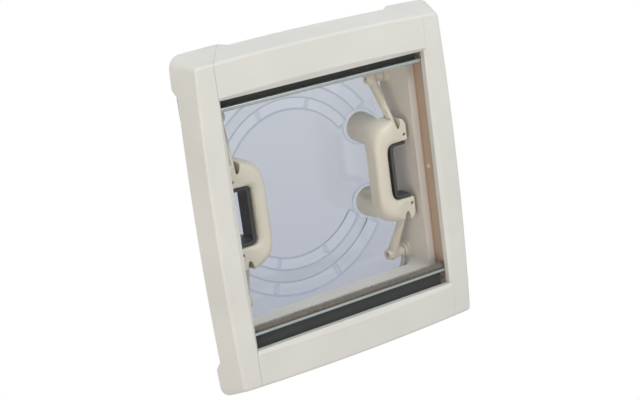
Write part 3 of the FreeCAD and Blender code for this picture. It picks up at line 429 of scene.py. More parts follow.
def make_outer_dome():
    """The outer pane: a drip skirt, a flat rim and a crown.

    The crown's height is the lesser of steep sides and a shallow sphere, softly joined.
    """
    low, high = corners("outer_dome")
    half = high[:2]
    wall, rim, skirt_middle = 3.0, 103.0, 92.0
    corner, corner_loss, crown_inset = 40, 0.4, 6
    rim_inset, rim_round, lip, bend = 4, 2.5, 0.6, 1
    sphere_alone = 60

    def ring(inset, height):
        return raised(outline(*(half - inset), max(corner - inset, LEAST_ROUND), AROUND), height)

    def crown(plan, inset, drop):
        top = high[2] - drop - (plan ** 2).sum(axis=-1) / (2 * COVER_SPHERE)
        return smooth_least(rim - drop + (inset - crown_inset - drop) * SIDE_RISE, top, width=16.0)

    def crown_rings(drop):
        rings = []
        for inset in np.concatenate([np.linspace(crown_inset, 22, 17), np.linspace(25, 45, 8)]) + drop:
            plan = outline(*(half - inset), max(corner - inset * corner_loss, LEAST_ROUND), AROUND)
            rings.append(raised(plan, np.maximum(crown(plan, inset, drop), rim - drop)))
        last = rings[-1][:, :2]
        for scale in np.linspace(0.97, 0.03, 34):
            rings.append(raised(last * scale, crown(last * scale, sphere_alone, drop)))
        return rings[::-1]

    turns = np.linspace(0, math.pi / 2, 5)
    outer = crown_rings(0) + [ring(rim_inset, rim)]
    outer += [ring(rim_round * (1 - math.sin(t)), rim - rim_round * (1 - math.cos(t))) for t in turns]
    outer += [ring(0, skirt_middle), ring(0, low[2] + lip), ring(lip, low[2])]
    inner = [ring(wall - lip, low[2]), ring(wall, low[2] + lip), ring(wall, rim - wall - bend)]
    inner += [ring(wall + bend, rim - wall), ring(crown_inset, rim - wall)]
    inner += crown_rings(wall)[::-1]
    points, faces = closed_rings(outer + inner, (0, 0, high[2]), (0, 0, high[2] - wall))
    mesh_piece("outer_cover", points, faces, "dome", "clear_pane", "outer_dome")


def pressed(plan):
    """Height pressed into the inner pane: two ring beads at each end, and a pad round each handle leg.

    A bead is a step up and a step down over the radius, ended by a step over the turn, and ribs take a part
    of its height away. A pad is a step down over the distance from a leg's middle.
    """
    x, y = plan[:, 0], plan[:, 1]
    radius = np.hypot(x, y)
    turn = np.degrees(np.abs(np.arctan2(x, np.abs(y))))
    ends = 1 - step_up(turn, BEAD_TURN, BEAD_END_SLOPE)
    rib_line = 1 - step_up(np.abs(turn - RIB_TURN), RIB_HALF, RIB_SIDE_SLOPE)
    height = np.zeros(len(plan))
    for start, end in BEAD_RADII:
        bead = between(radius, start, end, BEAD_SLOPE) * ends
        rib = rib_line * between(radius, start + RIB_INSET, end - RIB_INSET, RIB_END_SLOPE)
        height += BEAD_HEIGHT * bead * (1 - RIB_PART * rib)
    pad = np.hypot((np.abs(x) - PAD_MIDDLE[0]) / PAD_STRETCH, np.abs(y) - PAD_MIDDLE[1])
    return height + PAD_HEIGHT * (1 - step_up(pad, PAD_RADIUS, PAD_SLOPE))


def make_inner_pane():
    """The inner pane: a flat rim, leaning sides and a shallow sphere with pressed rings.

    Its points keep two numbers for painted light on the pane: how steep the pressed height is there, for
    painted shade lines, and how high, for a painted lighter band.
    """
    low, high = corners("inner_pane")
    half = high[:2]
    wall, rim_depth, lip, corner = 2.5, 3.0, 0.8, 36
    rim_inset, under_inset = 3, 6
    rim = low[2] + rim_depth
    foot_inset, foot_round, side_inset = 14, 26, 5
    fine_start, fine_end = 86, 122
    near, number_inset, number_reach = 0.4, 8, 1.2

    def ring(inset, height):
        return raised(outline(*(half - inset), max(corner - inset, LEAST_ROUND), AROUND), height)

    def sheet(drop):
        foot = outline(*(half - foot_inset - drop), foot_round, AROUND)
        edge = np.linalg.norm(foot, axis=-1)
        way = foot / edge[:, None]
        radii = np.concatenate([np.linspace(3, 84, 12), np.linspace(fine_start, fine_end, 44)])
        spread = [np.full(AROUND, radius) for radius in radii]
        spread += [fine_end + (edge - fine_end) * part for part in np.linspace(0, 1, 65)[1:]]
        rings = []
        for radius in spread:
            plan = way * radius[:, None]
            top = high[2] - drop - radius ** 2 / (2 * PANE_SPHERE)
            rings.append(raised(plan, top + pressed(plan)))
        for inset in (12.5, 11.2, 10, 9, 8, 7, 6.2, 5.6, side_inset):
            plan = outline(*(half - inset - drop), max(corner - inset, LEAST_ROUND), AROUND)
            top = high[2] - drop - (plan ** 2).sum(axis=-1) / (2 * PANE_SPHERE)
            side = rim - drop + (inset - side_inset) * SIDE_RISE
            rings.append(raised(plan, smooth_least(side, top, width=7.0)))
        return rings

    edge = [ring(rim_inset, rim), ring(lip, rim), ring(0, rim - lip)]
    edge += [ring(0, low[2] + lip), ring(lip, low[2]), ring(under_inset, low[2])]
    rings = sheet(0) + edge + sheet(wall)[::-1]
    points, faces = closed_rings(rings, (0, 0, high[2]), (0, 0, high[2] - wall))
    pane = mesh_piece("inner_cover", points, faces, "dome", "clear_pane", "inner_pane")
    plan = points[:, :2]
    inside = np.hypot(*(plan / (half - number_inset)).T) < number_reach
    # Painted light on the rings: blue-grey painted shade lines where the pressed height is steep, and a
    # painted lighter band where it is high.
    slope = [pressed(plan + move) - pressed(plan - move) for move in ((near, 0), (0, near))]
    steep_line_shade = np.clip(np.hypot(*slope) / near, 0, 1)
    painted_band_light = np.clip(pressed(plan) / BEAD_HEIGHT, 0, 1)
    for name, value in (("edge", steep_line_shade), ("painted_band_light", painted_band_light)):
        pane.data.attributes.new(name, "FLOAT", "POINT").data.foreach_set("value", value * inside)


def make_seal_lip():
    """The thin lip of the outer frame that holds the seal from inside: an upright wall round the opening."""
    low, high = corners("dome_seal")
    seal_width, corner, count = 8.5, 20, 240
    profile = ((0, -0.4), (0, 4.2), (0.3, 4.5), (0.7, 4.5), (1.0, 4.2), (1.0, -0.4))
    inner = high[:2] - seal_width
    rings = []
    for grow, level in profile:
        rings.append(raised(outline(*(inner + grow), corner + grow, count), low[2] + level))
    points = np.concatenate(rings)
    faces = grid_faces(len(rings) + 1, count)[:, ::-1] % len(points)
    mesh_piece("seal_lip", points, faces, "frame", "frame_plastic")


# Screws

SCREW_SIDES = 24
SCREW_PROFILE = ((0.30, -0.35), (0.42, -0.35), (0.48, 0.28), (0.62, 0.30), (0.82, 0.22), (0.95, 0.08),
                 (1.0, -0.1), (1.0, -0.4), (0.55, -0.42))


def screw(place, toward, radius):
    """A round-headed screw: a profile of radius and height turned about the way it points, with a socket."""
    profile = np.array(SCREW_PROFILE) * radius
    toward = np.asarray(toward, float)
    side = np.cross(toward, (0, 1, 0))
    other = np.cross(toward, side)
    turn = np.arange(SCREW_SIDES) * 2 * math.pi / SCREW_SIDES
    around = np.cos(turn)[:, None] * side + np.sin(turn)[:, None] * other
    rings = [place + r * around + h * toward for r, h in profile]
    return closed_rings(rings, place + profile[0, 1] * toward, place + profile[-1, 1] * toward)


def make_screws(name, body, slot, places, toward, radius):
    """Several equal screws as one piece."""
    made = [screw(np.asarray(place, float), way, radius) for place, way in zip(places, toward)]
    count = len(made[0][0])
    points = np.concatenate([item[0] for item in made])
    faces = np.concatenate([item[1] + number * count for number, item in enumerate(made)])
    mesh_piece(name, points, faces, body, slot)


def make_all_screws(size):
    """Screws in the rails' guide walls and deep in the handles' recesses."""
    guide_gap, guide_level, depth = 2.5, 27.5, 6
    guide = corners("rear_blind_roll")[1][0] - guide_gap
    places = [(sign * guide, 0, guide_level) for sign in (1, -1)]
    make_screws("rail_screws", "frame", "handle_plastic", places, [(-1, 0, 0), (1, 0, 0)], radius=3.1)
    low, high = corners("right_handle")
    across, along = high[0] - SCREW_INSET, size.finger_length / MM / 2 + SCREW_BEYOND
    places = [(sign * across, end * along, low[2] + depth) for sign in (1, -1) for end in (1, -1)]
    make_screws("handle_screws", "dome", "trigger_plastic", places, [(0, 0, -1)] * 4, radius=1.9)


# Blinds

FRONT_BAR_BACK = 2.2
REAR_LIP_BACK = 1.7


def bar(name, outline_yz, rounding, node):
    """An extruded pull bar: an outline in Y and Z with rounded corners, carried across the hatch."""
    low, high = corners(node)
    end_gap, bevel, corner_steps = 0.3, 0.01, 7
    here = np.asarray(outline_yz, float)
    ring = []
    for before, at, after in zip(np.roll(here, 1, axis=0), here, np.roll(here, -1, axis=0)):
        arms = [(other - at) / np.linalg.norm(other - at) for other in (before, after)]
        for part in np.linspace(0, 1, corner_steps):
            ring.append(at + rounding * ((1 - part) ** 2 * arms[0] + part ** 2 * arms[1]))
    ring = np.array(ring)
    middle = ring.mean(axis=0)
    left, right = low[0] + end_gap, high[0] - end_gap
    places = (left, left + bevel, right - bevel, right)
    rings = [np.column_stack([np.full(len(ring), x), ring]) for x in places]
    points, faces = closed_rings(rings, (left, *middle), (right, *middle))
    mesh_piece(name, points, faces, "frame", "bar_aluminium", node)


def make_bars():
    """The front bar, a round-nosed block, and the rear one, a lip on a web."""
    low, high = corners("front_pull_bar")
    nose, back, face, top = high[1], low[1] + FRONT_BAR_BACK, low[2], high[2]
    block = [(back, face), (back, top), (nose, top), (nose, face)]
    bar("front_bar", block, rounding=2.2, node="front_pull_bar")
    low, high = corners("rear_pull_bar")
    lip, web_depth = 3.2, 4
    nose, back, face, top = low[1] + REAR_LIP_BACK, high[1], low[2], high[2]
    web = top - web_depth
    hook = [(nose, face), (nose, top), (back, top), (back, web), (nose + lip, web), (nose + lip, face)]
    bar("rear_bar", hook, rounding=0.6, node="rear_pull_bar")


def make_brush():
    """The brush: thin three-sided bristles of uneven length that lean a little, rooted in the rear bar."""
    low, high = corners("rear_bar_brush")
    high[1] += REAR_LIP_BACK
    chance = np.random.default_rng(7)
    count, thickness, lean = 6000, 0.3, 0.5
    side_room, level_room, root, shortest, uneven, bias = 0.4, 0.5, 0.3, 0.8, 1.5, 1.3
    foot = np.stack([chance.uniform(low[0] + side_room, high[0] - side_room, count),
                     np.full(count, high[1] - root),
                     chance.uniform(low[2] + level_room, high[2] - level_room, count)], axis=-1)
    tip = foot.copy()
    tip[:, 1] = low[1] + shortest + chance.uniform(0.0, uneven, count) ** bias
    for axis in (0, 2):
        tip[:, axis] = np.clip(tip[:, axis] + chance.normal(0, lean, count), low[axis], high[axis])
    turn = np.arange(3) * 2 * math.pi / 3
    around = np.stack([np.cos(turn), 0 * turn, np.sin(turn)], axis=-1) * thickness
    points = np.concatenate([foot[:, None] + around, tip[:, None]], axis=1).reshape(-1, 3)
    side = np.array([(0, 1, 3), (1, 2, 3), (2, 0, 3), (0, 2, 1)])
    faces = (np.arange(count)[:, None, None] * 4 + side).reshape(-1, 3)
    mesh_piece("brush_bristles", points, faces, "frame", "brush_pile", "rear_bar_brush")


def make_fabric(end):
    """A taut run of blind cloth with slight waves across its pull: a grid raised by two small sines."""
    low, high = corners(f"{end}_blind_fabric")
    if end == "front":
        high[1] += FRONT_BAR_BACK
    across, along, thickness = 141, 25, 0.25
    wave_height, wave_run = 0.12, 11
    pucker_height, pucker_run, pucker_slant = 0.1, 4.3, 9
    places = np.linspace(low[0], high[0], across), np.linspace(low[1], high[1], along)
    x, y = np.meshgrid(*places, indexing="ij")
    part = (y - low[1]) / (high[1] - low[1])
    wave = wave_height * np.sin(x / wave_run) + pucker_height * np.sin(x / pucker_run + y / pucker_slant)
    z = (low[2] + high[2]) / 2 + np.sin(part * math.pi) * wave
    top = np.stack([x, y, z], axis=-1).reshape(-1, 3)
    points = np.concatenate([top, top - (0, 0, thickness)])
    row, column = np.meshgrid(np.arange(across - 1), np.arange(along - 1), indexing="ij")
    first = (row * along + column).ravel()
    upper = np.stack([first, first + along, first + along + 1, first + 1], axis=-1)
    lower = upper[:, ::-1] + len(top)
    rim = np.concatenate([np.arange(across) * along, (across - 1) * along + np.arange(1, along),
                          np.arange(across - 2, -1, -1) * along + along - 1, np.arange(along - 2, 0, -1)])
    after = np.roll(rim, -1)
    edge = np.stack([rim, rim + len(top), after + len(top), after], axis=-1)
    slot = "blind_fabric" if end == "front" else "screen_fabric"
    cloth = mesh_piece(f"{end}_cloth", points, np.concatenate([upper, lower, edge]), "frame", slot,
                       f"{end}_blind_fabric")


# Materials

# Zones of painted light in the frame plastic, by the size of each Object coordinate: the neck's side walls,
# and the thin guide walls.
NECK_SHADE_ZONE = ((-0.001, 0.163), (-0.001, 0.130), (0.0325, 0.2))
GUIDE_SHADE_ZONE = ((0.1462, 0.1520), (-0.01, 0.152), (0.0032, 0.0335))
GLOSS_SPREAD = 0.06


def colour_of(name):
    """A colour of the add-on's settings with full alpha."""
    return (*getattr(bpy.context.scene.hatch_colours, name), 1.0)


class Finish:
    """A material that is being wired: a Principled shader with Object coordinates."""

    def __init__(self, name):
        self.material = bpy.data.materials.new(name)
        self.material.use_nodes = True
        self.nodes = self.material.node_tree.nodes
        self.links = self.material.node_tree.links
        self.shader = next(n for n in self.nodes if n.type == "BSDF_PRINCIPLED")
        self.place = self.nodes.new("ShaderNodeTexCoord").outputs["Object"]

    def set(self, **values):
        """Sets the shader's own sockets, with underscores for spaces."""
        for key, value in values.items():
            self.shader.inputs[key.replace("_", " ")].default_value = value
        return self

    def noise(self, scale, detail=3.0, stretch=(1, 1, 1)):
        """Noise of that scale in points a metre, stretched along the axes."""
        mapping = self.nodes.new("ShaderNodeMapping")
        mapping.inputs["Scale"].default_value = stretch
        self.links.new(self.place, mapping.inputs["Vector"])
        node = self.nodes.new("ShaderNodeTexNoise")
        node.inputs["Scale"].default_value = scale
        node.inputs["Detail"].default_value = detail
        self.links.new(mapping.outputs["Vector"], node.inputs["Vector"])
        return node.outputs["Fac"]

    def shades(self, value, colour, dark, light, start=0.3, end=0.7):
        """The colour from a darker shade to a lighter one, while a value goes from start to end."""
        node = self.nodes.new("ShaderNodeValToRGB")
        for element, at, factor in zip(node.color_ramp.elements, (start, end), (dark, light)):
            element.position = at
            element.color = tint(colour, factor)
        self.links.new(value, node.inputs["Fac"])
        return node.outputs["Color"]

    def spread(self, value, low, high):
        """The value from 0 to 1 spread between two numbers."""
        node = self.nodes.new("ShaderNodeMapRange")
        node.inputs["To Min"].default_value = low
        node.inputs["To Max"].default_value = high
        self.links.new(value, node.inputs["Value"])
        return node.outputs["Result"]

    def math(self, operation, *values):
        """The result of an operation on values, each a number or a socket."""
        node = self.nodes.new("ShaderNodeMath")
        node.operation = operation
        for socket, value in zip(node.inputs, values):
            if isinstance(value, float):
                socket.default_value = value
            else:
                self.links.new(value, socket)
        return node.outputs["Value"]

    def within(self, limits):
        """1 where the size of each coordinate lies between its two limits, else 0."""
        split = self.nodes.new("ShaderNodeSeparateXYZ")
        self.links.new(self.place, split.inputs["Vector"])
        found = 1.0
        for (low, high), place in zip(limits, split.outputs):
            size = self.math("ABSOLUTE", place)
            inside = self.math("COMPARE", size, (low + high) / 2, (high - low) / 2)
            found = self.math("MULTIPLY", inside, found)
        return found

    def attribute(self, name):
        """A number that the mesh keeps at its points; nothing on a mesh without it."""
        node = self.nodes.new("ShaderNodeAttribute")
        node.attribute_name = name
        return node.outputs["Fac"]

    def mixed(self, value, first, second, most):
        """A colour between two, each a colour or a socket, by a value times its most."""
        amount = self.math("MULTIPLY", value, most)
        amount.node.use_clamp = True
        node = self.nodes.new("ShaderNodeMix")
        node.data_type = "RGBA"
        self.links.new(amount, node.inputs["Factor"])
        colours = [socket for socket in node.inputs if socket.type == "RGBA"]
        for socket, colour in zip(colours, (first, second)):
            if isinstance(colour, tuple):
                socket.default_value = colour
            else:
                self.links.new(colour, socket)
        return next(socket for socket in node.outputs if socket.type == "RGBA")

    def bump(self, value, strength, distance):
        """Bump from a value, on top of any bump wired before."""
        node = self.nodes.new("ShaderNodeBump")
        node.inputs["Strength"].default_value = strength
        node.inputs["Distance"].default_value = distance
        self.links.new(value, node.inputs["Height"])
        before = self.shader.inputs["Normal"].links
        if before:
            self.links.new(before[0].from_socket, node.inputs["Normal"])
        self.links.new(node.outputs["Normal"], self.shader.inputs["Normal"])
        return self

    def link(self, value, socket):
        """Wires a value to one of the shader's sockets."""
        self.links.new(value, self.shader.inputs[socket])
        return self


def tint(colour, factor):
    """The colour made lighter or darker by a factor."""
    return (*[min(1.0, part * factor) for part in colour[:3]], 1.0)


def moulded_plastic(name, colour, roughness, grain, cloud=0.03, channel=False):
    """Satin moulded plastic: faint cloudy colour, uneven gloss and a fine spark-eroded grain.

    With painted shade on, the neck's side walls are a darker warm cream, partly their own cream and partly
    painted shade and warm bounce, and the thin guide walls are a brown painted shade for deep shade and light
    coming through them.
    """
    finish = Finish(name)
    clouds = finish.noise(scale=14.0)
    tone = finish.shades(clouds, colour, 1 - cloud, 1 + cloud)
    if channel:
        # Painted shade: the neck's side walls a darker warm cream, partly their own cream and partly painted
        # warm bounce; the thin guide walls brown, standing for deep shade and light coming through them.
        tone = finish.mixed(finish.within(NECK_SHADE_ZONE), tone, colour_of("neck"), most=0.85)
        tone = finish.mixed(finish.within(GUIDE_SHADE_ZONE), tone, colour_of("channel"), most=0.9)
    finish.link(tone, "Base Color")
    gloss = finish.spread(finish.noise(scale=60.0), roughness - GLOSS_SPREAD, roughness + GLOSS_SPREAD)
    finish.link(gloss, "Roughness")
    finish.bump(finish.noise(scale=2600.0, detail=2.0), grain, distance=0.0002)
    return finish.set(IOR=1.5).material


def clear_acrylic(name, colour, roughness):
    """Clear acrylic with a faint tint and a slight waviness from moulding, and painted light on the pressed
    rings: a painted lighter band on the beads and blue-grey painted shade lines where the pressed height is
    steep.
    """
    finish = Finish(name)
    finish.set(Transmission_Weight=1.0, IOR=1.45)
    # Painted highlight: the beads a little lighter. Painted shade: blue-grey lines where the pressed height
    # is steep.
    tone = finish.mixed(finish.attribute("painted_band_light"), colour, tint(colour, 1.12), most=0.35)
    tone = finish.mixed(finish.attribute("edge"), tone, colour_of("ring_line_shade"), most=0.65)
    finish.link(tone, "Base Color")
    finish.link(finish.spread(finish.noise(scale=40.0), roughness * 0.6, roughness * 1.4), "Roughness")
    finish.bump(finish.noise(scale=22.0, detail=1.0), strength=0.12, distance=0.001)
    return finish.material


def seal_rubber(name, colour):
    """Matt black rubber with a dusty bloom."""
    finish = Finish(name)
    bloom = finish.noise(scale=90.0, detail=5.0)
    finish.link(finish.shades(bloom, colour, dark=1, light=2.2, start=0.35, end=0.75), "Base Color")
    finish.link(finish.spread(bloom, low=0.62, high=0.82), "Roughness")
    finish.bump(finish.noise(scale=900.0), strength=0.25, distance=0.0003)
    return finish.material


def brushed_aluminium(name, colour):
    """Anodised aluminium with fine draw lines along the bar."""
    finish = Finish(name)
    lines = finish.noise(scale=900.0, detail=2.0, stretch=(0.02, 1, 1))
    finish.link(finish.shades(lines, colour, dark=0.85, light=1.12), "Base Color")
    finish.link(finish.spread(lines, low=0.28, high=0.46), "Roughness")
    finish.bump(lines, strength=0.15, distance=0.0002)
    return finish.set(Metallic=0.85).material


def woven_cloth(name, colour, thread):
    """Dark woven blind cloth: two crossing sets of threads with a soft sheen."""
    finish = Finish(name)
    bands_a_turn = 20
    heights = []
    for direction in ("X", "Y"):
        wave = finish.nodes.new("ShaderNodeTexWave")
        wave.bands_direction = direction
        wave.inputs["Scale"].default_value = 2 * math.pi / (thread * bands_a_turn)
        wave.inputs["Distortion"].default_value = 0.6
        finish.links.new(finish.place, wave.inputs["Vector"])
        heights.append(wave.outputs["Fac"])
    cloth = finish.math("MULTIPLY", *heights)
    finish.link(finish.shades(cloth, colour, dark=0.6, light=1.4, start=0, end=1), "Base Color")
    finish.bump(cloth, strength=0.5, distance=0.0003)
    return finish.set(Roughness=0.85, Sheen_Weight=0.25).material


def brush_fibre(name, colour):
    """Brush fibre whose tone changes from hair to hair."""
    finish = Finish(name)
    hairs = finish.noise(scale=1400.0, detail=1.0, stretch=(1, 0.05, 0.05))
    finish.link(finish.shades(hairs, colour, dark=0.6, light=1.5), "Base Color")
    return finish.set(Roughness=0.7, Sheen_Weight=0.3).material


MATERIALS = {}


def make_materials():
    """All finishes of the hatch, by slot."""
    plastics = (
        ("frame", {"roughness": 0.42, "grain": 0.10, "channel": True}),
        ("handle", {"roughness": 0.36, "grain": 0.08}),
        ("trigger", {"roughness": 0.5, "grain": 0.35, "cloud": 0.15}),
    )
    for part, settings in plastics:
        slot = f"{part}_plastic"
        MATERIALS[slot] = moulded_plastic(slot, colour_of(part), **settings)
    MATERIALS["clear_pane"] = clear_acrylic("clear_pane", colour_of("pane"), roughness=0.05)
    MATERIALS["seal_rubber"] = seal_rubber("seal_rubber", colour_of("seal"))
    for slot, thread in (("blind_fabric", 0.0006), ("screen_fabric", 0.0011)):
        MATERIALS[slot] = woven_cloth(slot, colour_of("blind"), thread)
    MATERIALS["bar_aluminium"] = brushed_aluminium("bar_aluminium", colour_of("bar"))
    MATERIALS["brush_pile"] = brush_fibre("brush_pile", colour_of("brush"))


def dress_nodes():
    """Gives every node of the frame the finish of its slot."""
    slots = {part["node"]: part["material_slot"] for part in frame["record"]["subparts"]}
    for name, node in NODES.items():
        node.data.materials.clear()
        node.data.materials.append(MATERIALS[slots[name]])


# Settings


class HatchColours(bpy.types.PropertyGroup):
    """Colours that a user would change."""

    frame: bpy.props.FloatVectorProperty(
        name="Frame", description="Off-white ceiling frame", subtype="COLOR", default=(0.69, 0.692, 0.655))
    handle: bpy.props.FloatVectorProperty(
        name="Handle", description="Cream handles and struts", subtype="COLOR", default=(0.66, 0.63, 0.54))
    trigger: bpy.props.FloatVectorProperty(
        name="Trigger", description="Charcoal release bars", subtype="COLOR", default=(0.055, 0.058, 0.062))
    pane: bpy.props.FloatVectorProperty(
        name="Pane", description="Tint of the clear dome", subtype="COLOR", default=(0.84, 0.855, 0.885))
    # Blue-grey painted shade lines on the steep edges of the pressed rings.
    ring_line_shade: bpy.props.FloatVectorProperty(
        name="Pane edge", description="Edges of the pressed rings", subtype="COLOR",
        default=(0.50, 0.60, 0.68))
    # Warm cream of the neck's side walls: partly the moulding's own cream, partly painted shade and warm
    # bounce.
    neck: bpy.props.FloatVectorProperty(
        name="Neck", description="Cream outer frame and neck", subtype="COLOR", default=(0.64, 0.60, 0.55))
    # Brown painted shade on the thin guide walls, standing for deep shade and light coming through them.
    channel: bpy.props.FloatVectorProperty(
        name="Channel", description="Light through the guide walls", subtype="COLOR",
        default=(0.47, 0.34, 0.25))
    seal: bpy.props.FloatVectorProperty(
        name="Seal", description="Rubber seal", subtype="COLOR", default=(0.018, 0.018, 0.019))
    blind: bpy.props.FloatVectorProperty(
        name="Blind", description="Blind cloth", subtype="COLOR", default=(0.06, 0.066, 0.066))
    bar: bpy.props.FloatVectorProperty(
        name="Bar", description="Pull bars", subtype="COLOR", default=(0.56, 0.61, 0.61))
    brush: bpy.props.FloatVectorProperty(
        name="Brush", description="Brush on the rear bar", subtype="COLOR", default=(0.30, 0.275, 0.23))
    floor: bpy.props.FloatVectorProperty(
        name="Floor", description="Plain pale floor", subtype="COLOR", default=(0.82, 0.82, 0.81))


class HatchSizes(bpy.types.PropertyGroup):
    """Sizes of the handles."""

    finger_length: bpy.props.FloatProperty(
        name="Finger gap", description="Finger gap along the handle", unit="LENGTH", default=0.074)
    handle_arm: bpy.props.FloatProperty(
        name="Handle arm", description="Handle beyond the finger gap, at each end", unit="LENGTH",
        default=0.0295)
    handle_depth: bpy.props.FloatProperty(
        name="Handle depth", description="Handle face to back", unit="LENGTH", default=0.029)
    grip_width: bpy.props.FloatProperty(
        name="Grip width", description="Grip beside the finger gap", unit="LENGTH", default=0.0206)


class HatchStage(bpy.types.PropertyGroup):
    """Camera, floor and lamps."""

    eye: bpy.props.FloatVectorProperty(
        name="Eye", description="Camera's place", subtype="TRANSLATION", default=(-0.8631, -0.4604, -1.4074))
    turn: bpy.props.FloatVectorProperty(
        name="Turn", description="Rotation vector from the hatch to the camera, in radians",
        default=(0.21782, -0.55486, -0.20056))
    lens: bpy.props.FloatProperty(name="Lens", description="Focal length in millimetres", default=79.94)
    shift: bpy.props.FloatVectorProperty(
        name="Shift", description="Sensor shift in image widths", size=2, default=(-0.0148, -0.0249))
    floor_depth: bpy.props.FloatProperty(
        name="Floor depth", description="Ceiling face to the floor", unit="LENGTH", default=2.2)


# Stage: each lamp has a place, a size in metres, a power in watts, a colour and the point that it is aimed at

WHITE = (1.0, 1.0, 1.0)
HATCH_MIDDLE = (0, 0, 0.05)
REAR_WALL = (0.05, 0.14, 0.06)
LAMPS = (
    ("key_lamp", (0.1, -2.2, -2.0), 1.4, 41, WHITE, HATCH_MIDDLE),
    ("fill_lamp", (-1.7, 0.3, -1.2), 1.4, 14, (1.0, 0.86, 0.72), HATCH_MIDDLE),
    ("rear_lamp", (0.3, -0.8, -0.6), 0.4, 1.2, WHITE, REAR_WALL),
    ("sky_lamp", (0.8, 0.8, 2.0), 1.8, 14, WHITE, HATCH_MIDDLE),
)
SOFT_LIGHT = (0.975, 0.985, 1.0, 1.0)
SOFT_STRENGTH = 0.62
SKY_FADE = ((0.17, (0.80, 0.81, 0.83, 1.0)), (0.38, (0.60, 0.615, 0.68, 1.0)))
SKY_GAIN = 1.5
FLOOR_HALF = 60.0
SENSOR_WIDTH = 36.0


def lamp(name, place, size, power, colour, aim):
    """A square area lamp that stays out of the camera's sight, also through the panes."""
    data = bpy.data.lights.new(name, "AREA")
    data.color = colour
    data.size = size
    data.energy = power
    light = bpy.data.objects.new(name, data)
    light.location = place
    light.rotation_mode = "QUATERNION"
    light.rotation_quaternion = (Vector(aim) - Vector(place)).to_track_quat("-Z", "Y")
    light.visible_camera = False
    light.visible_transmission = False
    bpy.context.scene.collection.objects.link(light)


def make_world():
    """White for the camera, a pale sky through the panes, and a soft grey light for the rest.

    The sky is stronger for light that was scattered on its way, so that the panes let enough of it in.
    """
    world = bpy.data.worlds.new("studio")
    bpy.context.scene.world = world
    world.use_nodes = True
    nodes, links = world.node_tree.nodes, world.node_tree.links
    soft = nodes["Background"]
    soft.inputs["Color"].default_value = SOFT_LIGHT
    soft.inputs["Strength"].default_value = SOFT_STRENGTH
    white = nodes.new("ShaderNodeBackground")
    white.inputs["Color"].default_value = (*WHITE, 1.0)
    sky = nodes.new("ShaderNodeBackground")
    place = nodes.new("ShaderNodeTexCoord")
    split = nodes.new("ShaderNodeSeparateXYZ")
    links.new(place.outputs["Generated"], split.inputs["Vector"])
    fade = nodes.new("ShaderNodeValToRGB")
    for element, (at, colour) in zip(fade.color_ramp.elements, SKY_FADE):
        element.position = at
        element.color = colour
    links.new(split.outputs["Y"], fade.inputs["Fac"])
    links.new(fade.outputs["Color"], sky.inputs["Color"])
    path = nodes.new("ShaderNodeLightPath")
    daylight = nodes.new("ShaderNodeMath")
    daylight.operation = "MULTIPLY_ADD"
    links.new(path.outputs["Diffuse Depth"], daylight.inputs[0])
    daylight.inputs[1].default_value = SKY_GAIN
    daylight.inputs[2].default_value = 1.0
    links.new(daylight.outputs["Value"], sky.inputs["Strength"])
    shader = soft.outputs["Background"]
    for ray, other in (("Is Transmission Ray", sky), ("Is Camera Ray", white)):
        mix = nodes.new("ShaderNodeMixShader")
        links.new(path.outputs[ray], mix.inputs["Fac"])
        links.new(shader, mix.inputs[1])
        links.new(other.outputs["Background"], mix.inputs[2])
        shader = mix.outputs["Shader"]
    links.new(shader, nodes["World Output"].inputs["Surface"])


def make_floor(depth):
    """A plain pale floor below the hatch that reaches far beyond it."""
    signs = ((-1, -1), (1, -1), (1, 1), (-1, 1))
    points = [(x * FLOOR_HALF, y * FLOOR_HALF, -depth) for x, y in signs]
    mesh = bpy.data.meshes.new("floor")
    mesh.from_pydata(points, [], [(0, 1, 2, 3)])
    floor = bpy.data.objects.new("floor", mesh)
    bpy.context.scene.collection.objects.link(floor)
    finish = Finish("floor_paint")
    clouds = finish.noise(scale=1.5)
    finish.link(finish.shades(clouds, colour_of("floor"), dark=0.98, light=1.02), "Base Color")
    mesh.materials.append(finish.set(Roughness=0.8).material)


def make_camera(stage):
    """The camera that sees the hatch as the photograph does."""
    data = bpy.data.cameras.new("camera")
    data.lens = stage.lens
    data.sensor_width = SENSOR_WIDTH
    data.shift_x, data.shift_y = stage.shift
    camera = bpy.data.objects.new("camera", data)
    turn = Vector(stage.turn)
    to_camera = Quaternion(turn.normalized(), turn.length)
    camera.rotation_mode = "QUATERNION"
    camera.rotation_quaternion = to_camera.conjugated() @ Quaternion((1, 0, 0), math.pi)
    camera.location = stage.eye
    bpy.context.scene.collection.objects.link(camera)
    bpy.context.scene.camera = camera


class HATCH_OT_finishes(bpy.types.Operator):
    """Make the finishes and give each piece of the frame its own"""

    bl_idname = "hatch.finishes"
    bl_label = "Finishes"

    def execute(self, context):
        make_materials()
        dress_nodes()
        return {"FINISHED"}


class HATCH_OT_panes(bpy.types.Operator):
    """Make the outer and the inner pane of the dome, and the lip that holds its seal"""

    bl_idname = "hatch.panes"
    bl_label = "Panes"

    def execute(self, context):
        make_outer_dome()
        make_inner_pane()
        make_seal_lip()
        return {"FINISHED"}


class HATCH_OT_handles(bpy.types.Operator):
    """Make the handles, their release bars and all screws"""

    bl_idname = "hatch.handles"
    bl_label = "Handles"

    def execute(self, context):
        make_handles(context.scene.hatch_sizes)
        make_triggers(context.scene.hatch_sizes)
        make_all_screws(context.scene.hatch_sizes)
        return {"FINISHED"}


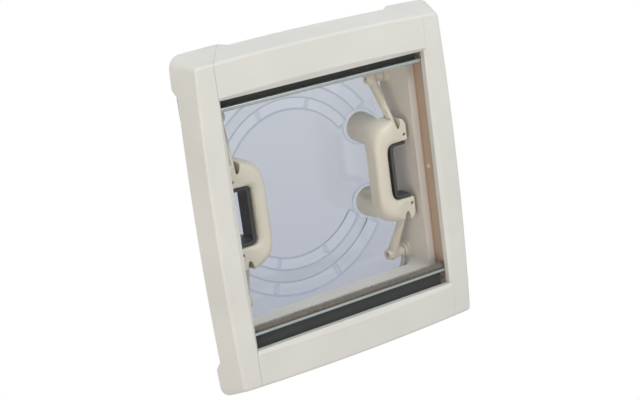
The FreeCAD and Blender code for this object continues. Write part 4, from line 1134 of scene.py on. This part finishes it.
class HATCH_OT_struts(bpy.types.Operator):
    """Make the four lift struts"""

    bl_idname = "hatch.struts"
    bl_label = "Struts"

    def execute(self, context):
        make_struts()
        return {"FINISHED"}


class HATCH_OT_blinds(bpy.types.Operator):
    """Make the pull bars, the brush and the blind cloth"""

    bl_idname = "hatch.blinds"
    bl_label = "Blinds"

    def execute(self, context):
        make_bars()
        make_brush()
        for end in ("front", "rear"):
            make_fabric(end)
        return {"FINISHED"}


class HATCH_OT_stage(bpy.types.Operator):
    """Make the camera, the floor, the world and the lamps"""

    bl_idname = "hatch.stage"
    bl_label = "Stage"

    def execute(self, context):
        stage = context.scene.hatch_stage
        make_camera(stage)
        make_floor(stage.floor_depth)
        make_world()
        for settings in LAMPS:
            lamp(*settings)
        context.scene.view_settings.view_transform = "Standard"
        return {"FINISHED"}


class HATCH_PT_panel(bpy.types.Panel):
    """Lists the steps of the hatch"""

    bl_idname = "HATCH_PT_panel"
    bl_label = "Camper roof hatch"
    bl_space_type = "VIEW_3D"
    bl_region_type = "UI"
    bl_category = "Hatch"

    def draw(self, context):
        for step in STEPS:
            self.layout.operator(step.bl_idname)


STEPS = (HATCH_OT_finishes, HATCH_OT_panes, HATCH_OT_handles, HATCH_OT_struts, HATCH_OT_blinds,
         HATCH_OT_stage)
CLASSES = (HatchColours, HatchSizes, HatchStage, *STEPS, HATCH_PT_panel)


def register():
    for item in CLASSES:
        bpy.utils.register_class(item)
    bpy.types.Scene.hatch_colours = bpy.props.PointerProperty(type=HatchColours)
    bpy.types.Scene.hatch_sizes = bpy.props.PointerProperty(type=HatchSizes)
    bpy.types.Scene.hatch_stage = bpy.props.PointerProperty(type=HatchStage)


def unregister():
    del bpy.types.Scene.hatch_stage
    del bpy.types.Scene.hatch_sizes
    del bpy.types.Scene.hatch_colours
    for item in reversed(CLASSES):
        bpy.utils.unregister_class(item)


def main():
    """Registers the add-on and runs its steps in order."""
    register()
    for step in STEPS:
        group, word = step.bl_idname.split(".")
        getattr(getattr(bpy.ops, group), word)()


if __name__ == "__main__":
    main()
